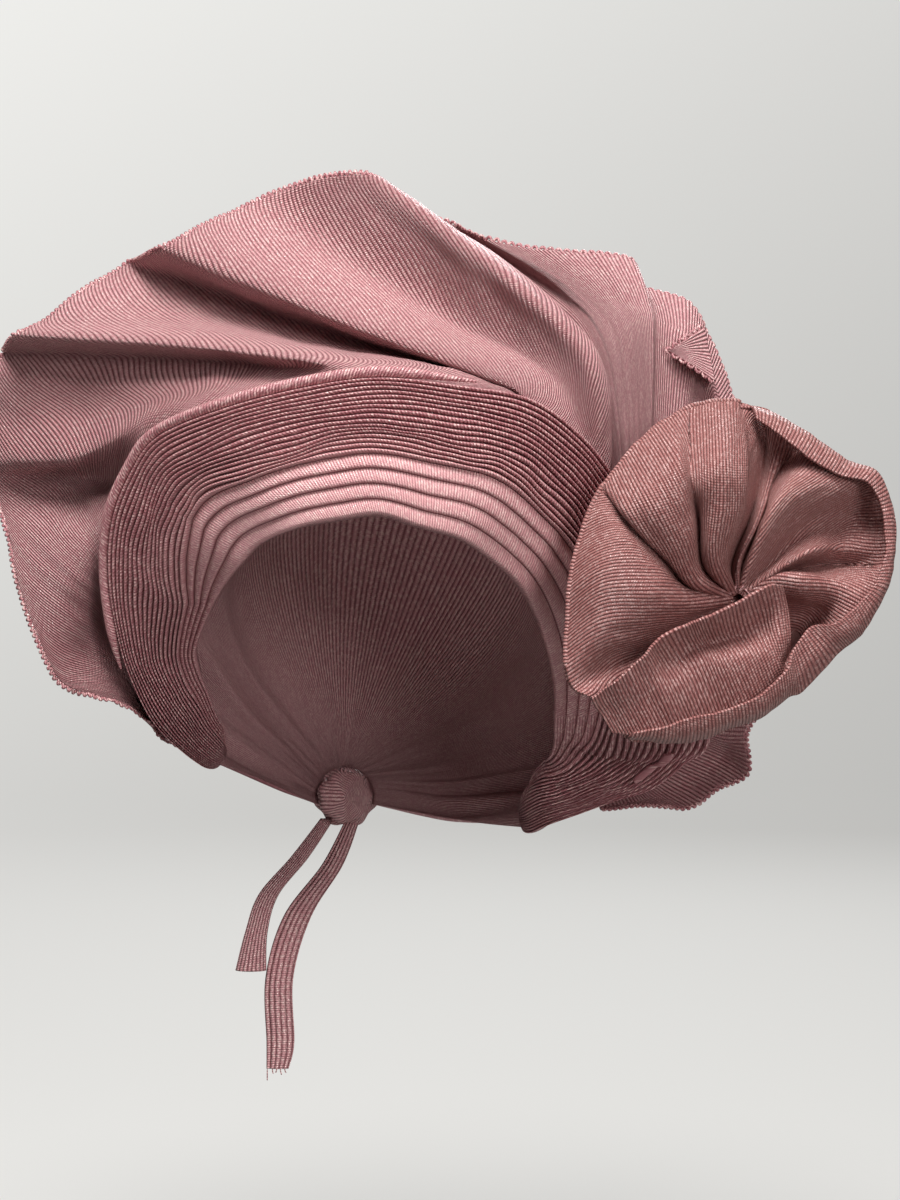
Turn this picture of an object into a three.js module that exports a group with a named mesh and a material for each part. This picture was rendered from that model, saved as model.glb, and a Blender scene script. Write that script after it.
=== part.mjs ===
import * as THREE from "three";

// A head tie of ribbed cloth, pleated round the face, with a fan and a rosette.
// Millimetres, +Z up, the face looks towards -Y, origin at the top of the head hollow.

// Head hollow
const headHalfWide = 77;
const headHalfDeep = 93;
const headRise = 106;
const headSetBack = 6;

// Pleated front round the face
const faceHalfWide = 76;
const faceReach = 83;
const faceTall = 165;
const bandWide = 62;
const bandWall = 4.6;
const bandBulge = 5;
const flatBands = 4;
const finePleats = 17;
const flatBandsShare = 0.42;
const pleatStep = 1.8;

// Cloth and seams
const clothWall = 1.5;
const capWall = 2;
const rosetteWall = 1.6;
const gap = 0.35;

// Outer pleat, fans and rosette
const outerPleatRadius = 2.5;
const fanReach = 200;
const rosetteReach = 78;
const rosetteSlant = 0.25;
const gatherWide = 7.5;
const tailReach = 50;

// Nape and ties
const napeSide = -20;
const napeBehind = 92;
const napeDrop = 166;
const knotRadius = 13;
const knotDeep = 22;
const tieWide = 13;
const longTieDrop = 127;
const shortTieDrop = 82;
const gatherFolds = 9;
const gatherHeight = 3;

const cloth = { color: 0xc79496, roughness: 0.6, metalness: 0.05 };
const clothMaterials = {
  light: new THREE.MeshStandardMaterial({ ...cloth, color: 0xd8a5a6, side: THREE.DoubleSide }),
  main: new THREE.MeshStandardMaterial({ ...cloth, side: THREE.DoubleSide }),
  plain: new THREE.MeshStandardMaterial({ ...cloth, color: 0x96706a, side: THREE.DoubleSide }),
  dark: new THREE.MeshStandardMaterial({ ...cloth, color: 0x7d5256, side: THREE.DoubleSide }),
};

const vec = (x, y, z) => new THREE.Vector3(x, y, z);
const mix = (a, b, t) => a.clone().lerp(b, t);
const mixNumber = (a, b, t) => a + (b - a) * t;

function table(columns, rows) {
  return rows.map((row) => Object.fromEntries(columns.map((name, i) => [name, row[i]])));
}

// A smooth curve through evenly spaced points, t from 0 to 1.
function through(points, t) {
  const place = Math.min(Math.max(t, 0), 1) * (points.length - 1);
  const i = Math.min(Math.floor(place), points.length - 2);
  const f = place - i;
  const at = (k) => points[Math.min(Math.max(k, 0), points.length - 1)];
  const weights = [
    (-f + 2 * f * f - f ** 3) / 2,
    (2 - 5 * f * f + 3 * f ** 3) / 2,
    (f + 4 * f * f - 3 * f ** 3) / 2,
    (-f * f + f ** 3) / 2,
  ];
  const sum = vec(0, 0, 0);
  weights.forEach((w, k) => sum.addScaledVector(at(i - 1 + k), w));
  return sum;
}

// A surface through rows of points: u runs from row to row, v along each row.
const patch = (rows) => (u, v) => through(rows.map((row) => through(row, v)), u);

// Six times the volume inside the triangles, negative if they face inwards.
function signedVolume(points, triangles) {
  let sum = 0;
  for (let i = 0; i < triangles.length; i += 3) {
    const [a, b, c] = triangles.slice(i, i + 3).map((k) => points[k]);
    sum += a.dot(b.clone().cross(c));
  }
  return sum;
}

function meshOf(name, material, points, triangles) {
  if (signedVolume(points, triangles) < 0) {
    triangles.reverse();
  }
  const geometry = new THREE.BufferGeometry();
  const positions = points.flatMap((p) => [p.x, p.y, p.z]);
  geometry.setAttribute("position", new THREE.Float32BufferAttribute(positions, 3));
  geometry.setIndex(triangles);
  geometry.computeVertexNormals();
  const mesh = new THREE.Mesh(geometry, material);
  mesh.name = name;
  return mesh;
}

// The triangles between neighbouring rings, which all have as many points.
function ringStrips(rings, loop) {
  const size = rings[0].length;
  const triangles = [];
  for (let i = 0; i + (loop ? 0 : 1) < rings.length; i += 1) {
    const next = (i + 1) % rings.length;
    for (let j = 0; j < size; j += 1) {
      const k = (j + 1) % size;
      const [a, b, c, d] = [i * size + j, i * size + k, next * size + j, next * size + k];
      triangles.push(a, b, c, b, d, c);
    }
  }
  return triangles;
}

// A solid through rings of points, with a flat end at the first and the last ring.
function skin(name, material, rings) {
  const size = rings[0].length;
  const points = rings.flat();
  const triangles = ringStrips(rings, false);
  [0, rings.length - 1].forEach((i) => {
    const middle = points.length;
    points.push(rings[i].reduce((sum, p) => sum.add(p), vec(0, 0, 0)).divideScalar(size));
    for (let j = 0; j < size; j += 1) {
      const [a, b] = [i * size + j, i * size + ((j + 1) % size)];
      triangles.push(...(i === 0 ? [middle, b, a] : [middle, a, b]));
    }
  });
  return meshOf(name, material, points, triangles);
}

// A cloth of even thickness on both sides of a surface, closed at its edges.
function sheet(name, material, surface, { across, along, wall, loop = false }) {
  const count = loop ? across : across + 1;
  const grid = Array.from({ length: count }, (_, i) =>
    Array.from({ length: along + 1 }, (__, j) => surface(i / across, j / along)));
  const near = (i) => (loop ? (i + across) % across : Math.min(Math.max(i, 0), across));
  const side = (way) => grid.map((row, i) => row.map((point, j) => {
    const du = grid[near(i + 1)][j].clone().sub(grid[near(i - 1)][j]);
    const dv = row[Math.min(j + 1, along)].clone().sub(row[Math.max(j - 1, 0)]);
    return point.clone().addScaledVector(du.cross(dv).normalize(), (way * wall) / 2);
  }));
  const back = side(-1);
  const rings = side(1).map((row, i) => [...row, ...back[i].slice().reverse()]);
  const triangles = ringStrips(rings, loop);
  if (!loop) {
    triangles.push(...endStrips(rings, along));
  }
  return meshOf(name, material, rings.flat(), triangles);
}

// The two end edges of a sheet, between its front and its back.
function endStrips(rings, along) {
  const size = rings[0].length;
  const last = (rings.length - 1) * size;
  const triangles = [];
  for (let j = 0; j < along; j += 1) {
    const [a, b, c, d] = [j, j + 1, size - 2 - j, size - 1 - j];
    triangles.push(a, d, b, b, d, c);
    triangles.push(last + a, last + b, last + d, last + b, last + c, last + d);
  }
  return triangles;
}

// Sections of the pleated front, from the low left end over the brow to the low right end.
// x, y, z place the face edge, and dx, dy, dz run from there to the outer edge.
const bandSections = table(["x", "y", "z", "dx", "dy", "dz"], [
  [-0.94, 0.36, -0.80, -0.11, 0.13, -0.31],
  [-1.00, 0.22, -0.74, -0.24, 0.11, -0.30],
  [-1.04, 0.10, -0.67, -0.40, 0.03, -0.24],
  [-1.07, 0.00, -0.62, -0.50, 0.03, -0.06],
  [-1.08, -0.10, -0.56, -0.56, 0.05, 0.07],
  [-0.98, -0.30, -0.46, -0.73, 0.16, 0.26],
  [-0.88, -0.48, -0.39, -0.80, 0.24, 0.49],
  [-0.76, -0.66, -0.33, -0.78, 0.32, 0.67],
  [-0.64, -0.77, -0.28, -0.72, 0.31, 0.76],
  [-0.41, -0.92, -0.24, -0.53, 0.26, 0.82],
  [-0.18, -0.98, -0.22, -0.28, 0.21, 0.89],
  [0.03, -1.00, -0.21, -0.01, 0.18, 0.93],
  [0.25, -0.98, -0.24, 0.27, 0.18, 0.96],
  [0.47, -0.92, -0.27, 0.48, 0.19, 0.96],
  [0.64, -0.80, -0.32, 0.62, 0.18, 0.86],
  [0.81, -0.65, -0.39, 0.64, 0.15, 0.79],
  [0.93, -0.43, -0.49, 0.81, 0.10, 0.60],
  [1.02, -0.18, -0.64, 0.98, 0.00, 0.43],
  [1.03, 0.00, -0.79, 1.15, 0.00, 0.01],
  [1.03, 0.04, -0.82, 0.98, 0.08, -0.13],
  [1.02, 0.06, -0.84, 0.76, 0.11, -0.27],
  [1.01, 0.08, -0.85, 0.52, 0.13, -0.33],
  [1.00, 0.12, -0.86, 0.26, 0.13, -0.41],
  [0.98, 0.17, -0.87, 0.05, 0.13, -0.48],
  [0.90, 0.30, -0.92, -0.06, 0.16, -0.49],
]);
const sectionCount = bandSections.length - 1;
const faceEdge = bandSections.map((r) => vec(r.x * faceHalfWide, r.y * faceReach, r.z * faceTall));
const outerEdge = bandSections.map((r, i) =>
  faceEdge[i].clone().add(vec(r.dx, r.dy, r.dz).multiplyScalar(bandWide)));

// The front of the band without its pleats: s counts sections, v runs from face to outer edge.
function bandPoint(s, v) {
  return mix(through(faceEdge, s / sectionCount), through(outerEdge, s / sectionCount), v);
}

// The way out of the band's front face, which looks away from the head.
function bandNormal(s, v) {
  const step = 0.05;
  const low = Math.max(s - step, 0);
  const high = Math.min(s + step, sectionCount);
  const ds = bandPoint(high, v).sub(bandPoint(low, v));
  const dv = bandPoint(s, 1).sub(bandPoint(s, 0));
  return ds.cross(dv).normalize();
}

function bandSurface(s, v, height) {
  const bulge = bandBulge * Math.sin(Math.PI * v);
  return bandPoint(s, v).addScaledVector(bandNormal(s, v), bulge + height);
}

// Where each pleat starts, as shares of the band's width: four flat bands, then fine pleats.
const pleatStarts = [
  ...Array.from({ length: flatBands }, (_, k) => (k * flatBandsShare) / flatBands),
  ...Array.from({ length: finePleats + 1 }, (_, k) =>
    flatBandsShare + (k * (1 - flatBandsShare)) / finePleats),
];

function pleatedFront() {
  const sections = 33;
  const rings = [];
  for (let i = 0; i <= sections; i += 1) {
    const s = (i * sectionCount) / sections;
    const ring = [];
    for (let k = 0; k + 1 < pleatStarts.length; k += 1) {
      const wide = pleatStarts[k + 1] - pleatStarts[k];
      ring.push(bandSurface(s, pleatStarts[k] + 0.2 * wide, pleatStep));
      ring.push(bandSurface(s, pleatStarts[k] + 0.98 * wide, 0));
    }
    [1, 0.75, 0.5, 0.25, 0].forEach((v) => ring.push(bandSurface(s, v, -bandWall)));
    rings.push(ring);
  }
  return skin("pleated_front", clothMaterials.main, rings);
}

// Behind the outer edge of the band, clear of its back face.
function seatBehind(s, v, depth) {
  return bandSurface(s, v, -bandWall - gap - depth);
}

// The rolled outermost pleat, along the outer edge from the low left to past the top.
function outerPleat() {
  const first = 1.4;
  const last = 12.2;
  const steps = 30;
  const rings = [];
  for (let i = 0; i <= steps; i += 1) {
    const s = first + ((last - first) * i) / steps;
    const out = bandPoint(s, 1).sub(bandPoint(s, 0)).normalize();
    const normal = bandNormal(s, 1);
    const fat = outerPleatRadius * Math.min(1, 0.35 + 3 * Math.sin((Math.PI * i) / steps));
    const centre = bandSurface(s, 1, 0).addScaledVector(out, outerPleatRadius + gap);
    rings.push(Array.from({ length: 8 }, (_, k) => {
      const angle = (k * Math.PI) / 4;
      return centre.clone().addScaledVector(out, fat * Math.cos(angle))
        .addScaledVector(normal, fat * Math.sin(angle));
    }));
  }
  return skin("outer_pleat", clothMaterials.light, rings);
}

// The head, as the form that the crown cloth is drawn over.
const headCentre = vec(0, headSetBack, -headRise);
function outOfHead(point, clear) {
  const away = point.clone().sub(headCentre);
  const share = Math.hypot(
    away.x / (headHalfWide + clear),
    away.y / (headHalfDeep + clear),
    away.z / (headRise + clear),
  );
  return share < 1 ? headCentre.clone().addScaledVector(away, 1 / share) : point;
}

// A taut path over the head from one point to another.
function tautPath(start, end) {
  const count = 12;
  const path = Array.from({ length: count + 1 }, (_, k) =>
    outOfHead(mix(start, end, k / count), capWall / 2));
  path[0] = start;
  path[count] = end;
  for (let round = 0; round < 160; round += 1) {
    for (let k = 1; k < count; k += 1) {
      path[k] = outOfHead(mix(path[k - 1], path[k + 1], 0.5), capWall / 2);
    }
  }
  return path;
}

const nape = vec(napeSide, napeBehind, -napeDrop);
const gatherRadius = knotRadius + gap + capWall / 2;

function crownCap() {
  const seatShare = 0.8;
  const across = 36;
  const paths = Array.from({ length: across + 1 }, (_, i) => {
    const s = (i * sectionCount) / across;
    const angle = Math.PI * (1.1 - (1.2 * i) / across);
    const start = seatBehind(s, seatShare, capWall / 2);
    const around = vec(Math.cos(angle), 0, Math.sin(angle));
    const end = nape.clone().addScaledVector(around, gatherRadius);
    const path = tautPath(start, end);
    const lift = (gatherHeight * (1 - Math.cos((2 * Math.PI * gatherFolds * i) / across))) / 2;
    return path.map((point, k) => {
      const away = point.clone().sub(headCentre).normalize();
      const fade = Math.sin((Math.PI * k) / (path.length - 1)) ** 2;
      return point.clone().addScaledVector(away, lift * fade);
    });
  });
  const surface = (u, v) => through(paths[Math.round(u * across)], v);
  return sheet("crown_cap", clothMaterials.main, surface, { across, along: 9, wall: capWall });
}

// Folds of a fan: seat counts the band's sections, then three points along each fold.
// Their places run from the seat, as shares of the fan's reach, the last one at the rim.
const foldColumns = ["seat", "x1", "y1", "z1", "x2", "y2", "z2", "x3", "y3", "z3"];
const frontFolds = table(foldColumns, [
  [1.5, -0.012, 0.050, -0.014, 0.000, 0.060, -0.030, 0.026, 0.075, -0.052],
  [1.9, -0.014, 0.070, -0.014, -0.004, 0.066, -0.028, 0.012, 0.055, -0.042],
  [2.7, -0.013, 0.090, 0.000, -0.017, 0.078, -0.024, -0.020, 0.038, -0.040],
  [3.4, -0.030, 0.115, 0.006, -0.043, 0.072, -0.032, -0.069, 0.024, -0.068],
  [4.1, -0.037, 0.099, 0.020, -0.079, 0.049, -0.036, -0.129, 0.009, -0.104],
  [4.6, -0.029, 0.054, 0.026, -0.084, 0.024, -0.030, -0.167, 0.014, -0.072],
  [5.1, -0.023, 0.040, 0.019, -0.096, 0.020, -0.013, -0.208, 0.060, -0.028],
  [5.6, -0.025, 0.045, 0.022, -0.121, 0.065, 0.006, -0.240, 0.115, 0.008],
  [6.1, -0.037, 0.090, 0.032, -0.143, 0.160, 0.042, -0.289, 0.190, 0.036],
  [6.6, -0.061, 0.145, 0.025, -0.169, 0.195, 0.039, -0.325, 0.205, 0.032],
  [7.3, -0.036, 0.060, 0.039, -0.167, 0.110, 0.003, -0.363, 0.215, 0.015],
  [8.0, -0.007, 0.055, 0.058, -0.182, 0.170, 0.058, -0.405, 0.255, 0.064],
  [9.0, -0.022, 0.110, 0.051, -0.280, 0.250, 0.074, -0.547, 0.320, 0.104],
  [9.8, -0.043, 0.154, 0.061, -0.321, 0.284, 0.103, -0.662, 0.374, 0.124],
  [10.6, -0.040, 0.055, 0.037, -0.373, 0.185, 0.092, -0.745, 0.285, 0.128],
  [11.3, -0.032, 0.070, 0.035, -0.397, 0.220, 0.116, -0.806, 0.340, 0.167],
  [12.2, -0.052, 0.096, 0.042, -0.428, 0.256, 0.136, -0.851, 0.386, 0.274],
  [12.8, -0.034, 0.117, 0.026, -0.432, 0.287, 0.176, -0.867, 0.397, 0.336],
  [13.3, -0.099, 0.050, 0.058, -0.443, 0.118, 0.195, -0.836, 0.228, 0.373],
  [13.8, -0.089, 0.045, 0.109, -0.388, 0.155, 0.267, -0.788, 0.275, 0.481],
  [14.2, -0.076, 0.056, 0.146, -0.347, 0.200, 0.319, -0.717, 0.316, 0.572],
  [14.6, -0.063, 0.020, 0.185, -0.286, 0.105, 0.395, -0.615, 0.255, 0.637],
  [14.9, -0.040, -0.020, 0.209, -0.210, 0.010, 0.403, -0.523, 0.180, 0.663],
  [15.1, -0.029, 0.010, 0.235, -0.178, 0.069, 0.431, -0.505, 0.209, 0.677],
  [15.2, -0.044, 0.032, 0.244, -0.208, 0.112, 0.437, -0.498, 0.252, 0.665],
]);
const backFolds = table(foldColumns, [
  [15.4, -0.085, 0.087, 0.278, -0.229, 0.197, 0.451, -0.490, 0.327, 0.672],
  [15.5, -0.068, 0.089, 0.336, -0.176, 0.209, 0.491, -0.408, 0.309, 0.662],
  [15.6, -0.045, 0.061, 0.352, -0.135, 0.141, 0.498, -0.294, 0.221, 0.616],
  [15.8, -0.032, 0.035, 0.391, -0.086, 0.095, 0.507, -0.181, 0.165, 0.620],
  [16.0, -0.008, 0.020, 0.423, -0.016, 0.070, 0.529, -0.045, 0.150, 0.634],
  [16.1, -0.003, 0.028, 0.431, 0.000, 0.092, 0.526, -0.021, 0.182, 0.595],
  [16.3, 0.017, 0.023, 0.453, 0.029, 0.077, 0.527, 0.028, 0.157, 0.603],
  [16.5, 0.038, 0.018, 0.465, 0.051, 0.062, 0.538, 0.063, 0.133, 0.603],
  [16.7, 0.045, 0.018, 0.440, 0.070, 0.038, 0.490, 0.090, 0.088, 0.530],
  [16.9, 0.055, 0.003, 0.400, 0.085, 0.013, 0.440, 0.108, 0.053, 0.470],
]);

// Each fold starts behind the band's outer edge and runs through its points.
function foldRows(folds, points, reach, depth) {
  const seatShare = 0.96;
  return folds.map((fold) => {
    const edge = through(outerEdge, fold.seat / sectionCount);
    const at = (k) =>
      edge.clone().add(vec(fold[`x${k}`], fold[`y${k}`], fold[`z${k}`]).multiplyScalar(reach));
    return [seatBehind(fold.seat, seatShare, depth), ...points.map(at)];
  });
}

// Where the rosette's cloth is gathered, in front of the band's right side.
const rosetteSection = 16.6;
const rosetteOffset = vec(0.27, -0.355, -0.08);
const rosetteCentre = bandSurface(rosetteSection, 1, 0)
  .addScaledVector(rosetteOffset, rosetteReach);
const rosettePoint = (x, y, z) =>
  rosetteCentre.clone().add(vec(x, y + rosetteSlant * x, z).multiplyScalar(rosetteReach));

// Where a petal's cloth reaches the gathered middle, in the direction of x and z.
function gatherPoint(x, y, z) {
  const radius = (gatherWide + 2 * gap) / rosetteReach / Math.hypot(x, z);
  return rosettePoint(x * radius, y, z * radius);
}

const rowPoint = (row, k) => rosettePoint(row[`x${k}`], row[`y${k}`], row[`z${k}`]);

// Each petal is a few folds, from the gather outwards, as shares of the rosette's reach.
const petalColumns = ["x1", "y1", "z1", "x2", "y2", "z2", "x3", "y3", "z3", "x4", "y4", "z4"];
const petals = {
  rosette_petal_left: table(petalColumns, [
    [-0.15, -0.11, -0.03, -0.39, -0.21, 0.17, -0.62, -0.27, 0.40, -0.75, -0.16, 0.57],
    [-0.17, -0.13, -0.04, -0.46, -0.31, 0.13, -0.71, -0.35, 0.29, -0.88, -0.18, 0.23],
    [-0.19, -0.13, -0.06, -0.49, -0.35, 0.02, -0.74, -0.39, 0.03, -0.93, -0.21, -0.04],
    [-0.21, -0.13, -0.08, -0.49, -0.35, -0.09, -0.74, -0.35, -0.20, -0.94, -0.23, -0.26],
    [-0.24, -0.12, -0.10, -0.50, -0.28, -0.16, -0.73, -0.31, -0.31, -0.93, -0.26, -0.43],
    [-0.27, -0.11, -0.12, -0.51, -0.21, -0.23, -0.73, -0.26, -0.44, -0.86, -0.27, -0.55],
  ]),
  rosette_petal_upper: table(petalColumns, [
    [-0.12, -0.19, -0.02, -0.40, -0.37, 0.19, -0.63, -0.40, 0.45, -0.72, -0.20, 0.62],
    [-0.14, -0.17, 0.01, -0.42, -0.43, 0.31, -0.53, -0.43, 0.63, -0.60, -0.15, 0.80],
    [-0.15, -0.13, 0.05, -0.33, -0.38, 0.37, -0.37, -0.40, 0.74, -0.39, -0.09, 0.99],
    [-0.16, -0.12, 0.10, -0.23, -0.20, 0.42, -0.22, -0.28, 0.77, -0.17, -0.07, 1.10],
    [-0.13, -0.08, 0.18, -0.08, -0.12, 0.48, -0.05, -0.22, 0.80, -0.06, -0.07, 1.10],
    [-0.08, -0.05, 0.21, 0.03, -0.08, 0.49, 0.04, -0.18, 0.80, 0.00, -0.06, 1.07],
  ]),
  rosette_petal_centre: table(petalColumns, [
    [-0.13, -0.21, 0.04, -0.19, -0.27, 0.29, -0.24, -0.32, 0.48, -0.25, -0.33, 0.65],
    [-0.11, -0.27, 0.05, -0.15, -0.40, 0.29, -0.18, -0.44, 0.47, -0.19, -0.39, 0.69],
    [-0.09, -0.27, 0.06, -0.08, -0.40, 0.29, -0.07, -0.44, 0.47, -0.08, -0.39, 0.71],
    [-0.06, -0.21, 0.07, -0.01, -0.27, 0.29, 0.02, -0.29, 0.51, 0.03, -0.27, 0.71],
  ]),
  rosette_fold_inner: table(petalColumns, [
    [-0.01, -0.13, 0.10, 0.03, -0.18, 0.27, 0.08, -0.18, 0.48, 0.10, -0.13, 0.65],
    [0.02, -0.19, 0.10, 0.06, -0.28, 0.28, 0.12, -0.28, 0.47, 0.18, -0.18, 0.65],
    [0.04, -0.13, 0.09, 0.10, -0.18, 0.26, 0.17, -0.16, 0.45, 0.26, -0.08, 0.61],
  ]),
  rosette_fold_outer: table(petalColumns, [
    [0.06, -0.15, 0.08, 0.11, -0.25, 0.25, 0.16, -0.28, 0.45, 0.24, -0.25, 0.59],
    [0.08, -0.21, 0.07, 0.14, -0.35, 0.25, 0.22, -0.36, 0.47, 0.31, -0.31, 0.67],
    [0.09, -0.15, 0.05, 0.20, -0.21, 0.22, 0.30, -0.20, 0.43, 0.43, -0.19, 0.65],
  ]),
  rosette_cup: table(petalColumns, [
    [0.10, -0.12, 0.03, 0.26, -0.14, 0.22, 0.40, -0.09, 0.40, 0.55, -0.17, 0.57],
    [0.11, -0.19, 0.02, 0.26, -0.31, 0.19, 0.46, -0.31, 0.30, 0.66, -0.19, 0.46],
    [0.11, -0.13, 0.00, 0.30, -0.19, 0.14, 0.50, -0.16, 0.19, 0.70, -0.17, 0.27],
  ]),
  rosette_petal_right: table(petalColumns, [
    [0.11, -0.20, -0.02, 0.28, -0.31, 0.11, 0.50, -0.32, 0.09, 0.70, -0.27, 0.05],
    [0.11, -0.20, -0.03, 0.30, -0.29, 0.07, 0.50, -0.30, 0.03, 0.69, -0.28, 0.00],
    [0.11, -0.15, -0.04, 0.30, -0.24, 0.02, 0.50, -0.25, -0.03, 0.66, -0.27, -0.05],
  ]),
};

function petal(name, across, along) {
  const rows = petals[name].map((row) => [
    gatherPoint(row.x1, row.y1, row.z1),
    ...[2, 3, 4].map((k) => rowPoint(row, k)),
  ]);
  return sheet(name, clothMaterials.plain, patch(rows), { across, along, wall: rosetteWall });
}

// The front flap, in rows from its upper edge to its lower edge.
const flapRows = table(petalColumns, [
  [-0.80, -0.35, -0.53, -0.76, -0.36, -0.57, -0.70, -0.35, -0.62, -0.64, -0.34, -0.66],
  [-0.61, -0.39, -0.38, -0.58, -0.44, -0.49, -0.53, -0.44, -0.58, -0.47, -0.39, -0.65],
  [-0.41, -0.39, -0.19, -0.38, -0.47, -0.36, -0.34, -0.47, -0.51, -0.28, -0.41, -0.60],
  [-0.21, -0.37, -0.11, -0.19, -0.47, -0.31, -0.15, -0.47, -0.47, -0.09, -0.42, -0.56],
  [0.01, -0.36, 0.00, 0.03, -0.45, -0.20, 0.05, -0.45, -0.39, 0.08, -0.42, -0.49],
  [0.19, -0.34, 0.10, 0.21, -0.43, -0.08, 0.24, -0.40, -0.23, 0.23, -0.39, -0.36],
]);

// The rim's outline from the low left tip round the right to the top, and its turned-in edge.
const rimRows = table(["x", "y", "z", "inX", "inY", "inZ"], [
  [-0.62, -0.35, -0.73, -0.60, -0.42, -0.70],
  [-0.49, -0.33, -0.75, -0.48, -0.47, -0.68],
  [-0.28, -0.35, -0.75, -0.29, -0.51, -0.62],
  [-0.08, -0.36, -0.69, -0.10, -0.52, -0.58],
  [0.11, -0.37, -0.62, 0.08, -0.52, -0.50],
  [0.25, -0.39, -0.52, 0.22, -0.51, -0.37],
  [0.33, -0.39, -0.49, 0.26, -0.49, -0.28],
  [0.51, -0.39, -0.30, 0.36, -0.48, -0.15],
  [0.61, -0.37, -0.23, 0.49, -0.48, -0.13],
  [0.69, -0.37, -0.15, 0.62, -0.45, -0.04],
  [0.82, -0.35, 0.08, 0.74, -0.40, 0.09],
  [0.86, -0.32, 0.26, 0.80, -0.37, 0.25],
  [0.86, -0.31, 0.37, 0.80, -0.35, 0.37],
  [0.84, -0.29, 0.53, 0.78, -0.34, 0.51],
  [0.77, -0.28, 0.69, 0.70, -0.35, 0.63],
  [0.61, -0.25, 0.75, 0.55, -0.33, 0.67],
  [0.45, -0.21, 0.86, 0.38, -0.31, 0.76],
  [0.25, -0.13, 0.99, 0.21, -0.24, 0.90],
  [0.09, -0.10, 1.05, 0.10, -0.18, 0.98],
]);

// The rest of the rosette's outline, from the top down the left to the low left tip.
const leftOutline = table(["x", "y", "z"], [
  [-0.04, 0.00, 1.05],
  [-0.20, 0.02, 1.05],
  [-0.40, 0.02, 0.94],
  [-0.61, -0.02, 0.73],
  [-0.80, -0.06, 0.44],
  [-0.87, -0.09, 0.17],
  [-0.90, -0.11, -0.17],
  [-0.91, -0.15, -0.40],
  [-0.86, -0.18, -0.51],
  [-0.75, -0.22, -0.64],
]);

function rosetteFlap() {
  const rows = flapRows.map((row) => [1, 2, 3, 4].map((k) => rowPoint(row, k)));
  return sheet("rosette_flap", clothMaterials.plain, patch(rows),
    { across: 10, along: 5, wall: rosetteWall });
}

// The rim bends forwards first and then inwards.
function rosetteRim() {
  const [bendOver, bendForward] = [0.4, 0.75];
  const rows = rimRows.map((r) => [
    rosettePoint(r.x, r.y, r.z),
    rosettePoint(
      mixNumber(r.x, r.inX, bendOver),
      mixNumber(r.y, r.inY, bendForward),
      mixNumber(r.z, r.inZ, bendOver),
    ),
    rosettePoint(r.inX, r.inY, r.inZ),
  ]);
  return sheet("rosette_rim", clothMaterials.plain, patch(rows),
    { across: 36, along: 3, wall: rosetteWall });
}

// The rosette's bowl: an open ring of cloth from the gather to the outline.
function rosetteBack() {
  const seam = (gap + rosetteWall) / rosetteReach;
  const floor = 0.28;
  const [floorShare, wallShare] = [0.55, 0.85];
  const outline = [...rimRows.map((r) => ({ x: r.x, y: r.y + seam, z: r.z })), ...leftOutline];
  const rings = outline.map((r) => [
    gatherPoint(r.x, 0, r.z),
    rosettePoint(floorShare * r.x, floor, floorShare * r.z),
    rosettePoint(wallShare * r.x, mixNumber(floor, r.y, 0.4), wallShare * r.z),
    rosettePoint(r.x, r.y, r.z),
  ]);
  const count = rings.length;
  const surface = (u, v) => {
    const row = rings.map((ring) => through(ring, v));
    const wrapped = [row[count - 1], ...row, row[0], row[1]];
    return through(wrapped, (1 + (u % 1) * count) / (wrapped.length - 1));
  };
  return sheet("rosette_back", clothMaterials.plain, surface,
    { across: 36, along: 6, wall: rosetteWall, loop: true });
}

// A round body along Y, from its back to its front.
function roundBody(name, material, centre, radius, back, front) {
  const sides = 12;
  const profile = table(["share", "width"], [
    [0, 0.55],
    [0.12, 0.9],
    [0.3, 1],
    [0.7, 1],
    [0.9, 0.85],
    [1, 0.5],
  ]);
  const rings = profile.map(({ share, width }) => Array.from({ length: sides }, (_, k) => {
    const angle = (2 * Math.PI * k) / sides;
    const [x, z] = [Math.cos(angle), Math.sin(angle)];
    return centre.clone()
      .add(vec(radius * width * x, mixNumber(back, front, share), radius * width * z));
  }));
  return skin(name, material, rings);
}

// The dark flap behind the low right pleats, with its free end to the right.
const tailFolds = table(["seat", "x1", "y1", "z1", "x2", "y2", "z2"], [
  [17.6, 0.07, 0.23, -0.12, 0.42, 0.11, -0.22],
  [18.0, 0.09, 0.16, -0.03, 0.29, 0.04, -0.03],
  [18.6, 0.22, 0.18, -0.04, 0.42, -0.03, -0.15],
  [19.3, 0.21, 0.19, -0.08, 0.36, 0.01, -0.16],
  [20.0, 0.13, 0.22, -0.07, 0.31, 0.04, -0.17],
  [20.7, 0.05, 0.20, -0.07, 0.11, 0.12, -0.10],
  [21.5, 0.00, 0.21, -0.04, 0.02, 0.17, -0.05],
]);

// A strip of cloth along a path, its width across the path at each row.
function strip(name, material, rows, wall) {
  const edges = [-1, 0, 1].map((way) => rows.map((r) =>
    vec(r.x + (way * r.wide) / 2, r.y + (way === 0 ? r.dent : 0), r.z)));
  return sheet(name, material, patch(edges), { across: 4, along: 10, wall });
}

const knotBottom = nape.z - knotRadius - gap;
const shortTieRings = table(["x", "y", "z", "wide", "deep"], [
  [nape.x - 9, nape.y + 4, knotBottom + 1.5, 6, 4],
  [nape.x - 22, nape.y - 6, knotBottom - 0.2 * shortTieDrop, 8, 5],
  [nape.x - 36, nape.y - 20, knotBottom - 0.4 * shortTieDrop, 9, 6],
  [nape.x - 41, nape.y - 30, knotBottom - 0.6 * shortTieDrop, 10, 7],
  [nape.x - 43.5, nape.y - 32, knotBottom - 0.82 * shortTieDrop, 14, 9],
]);

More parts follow.
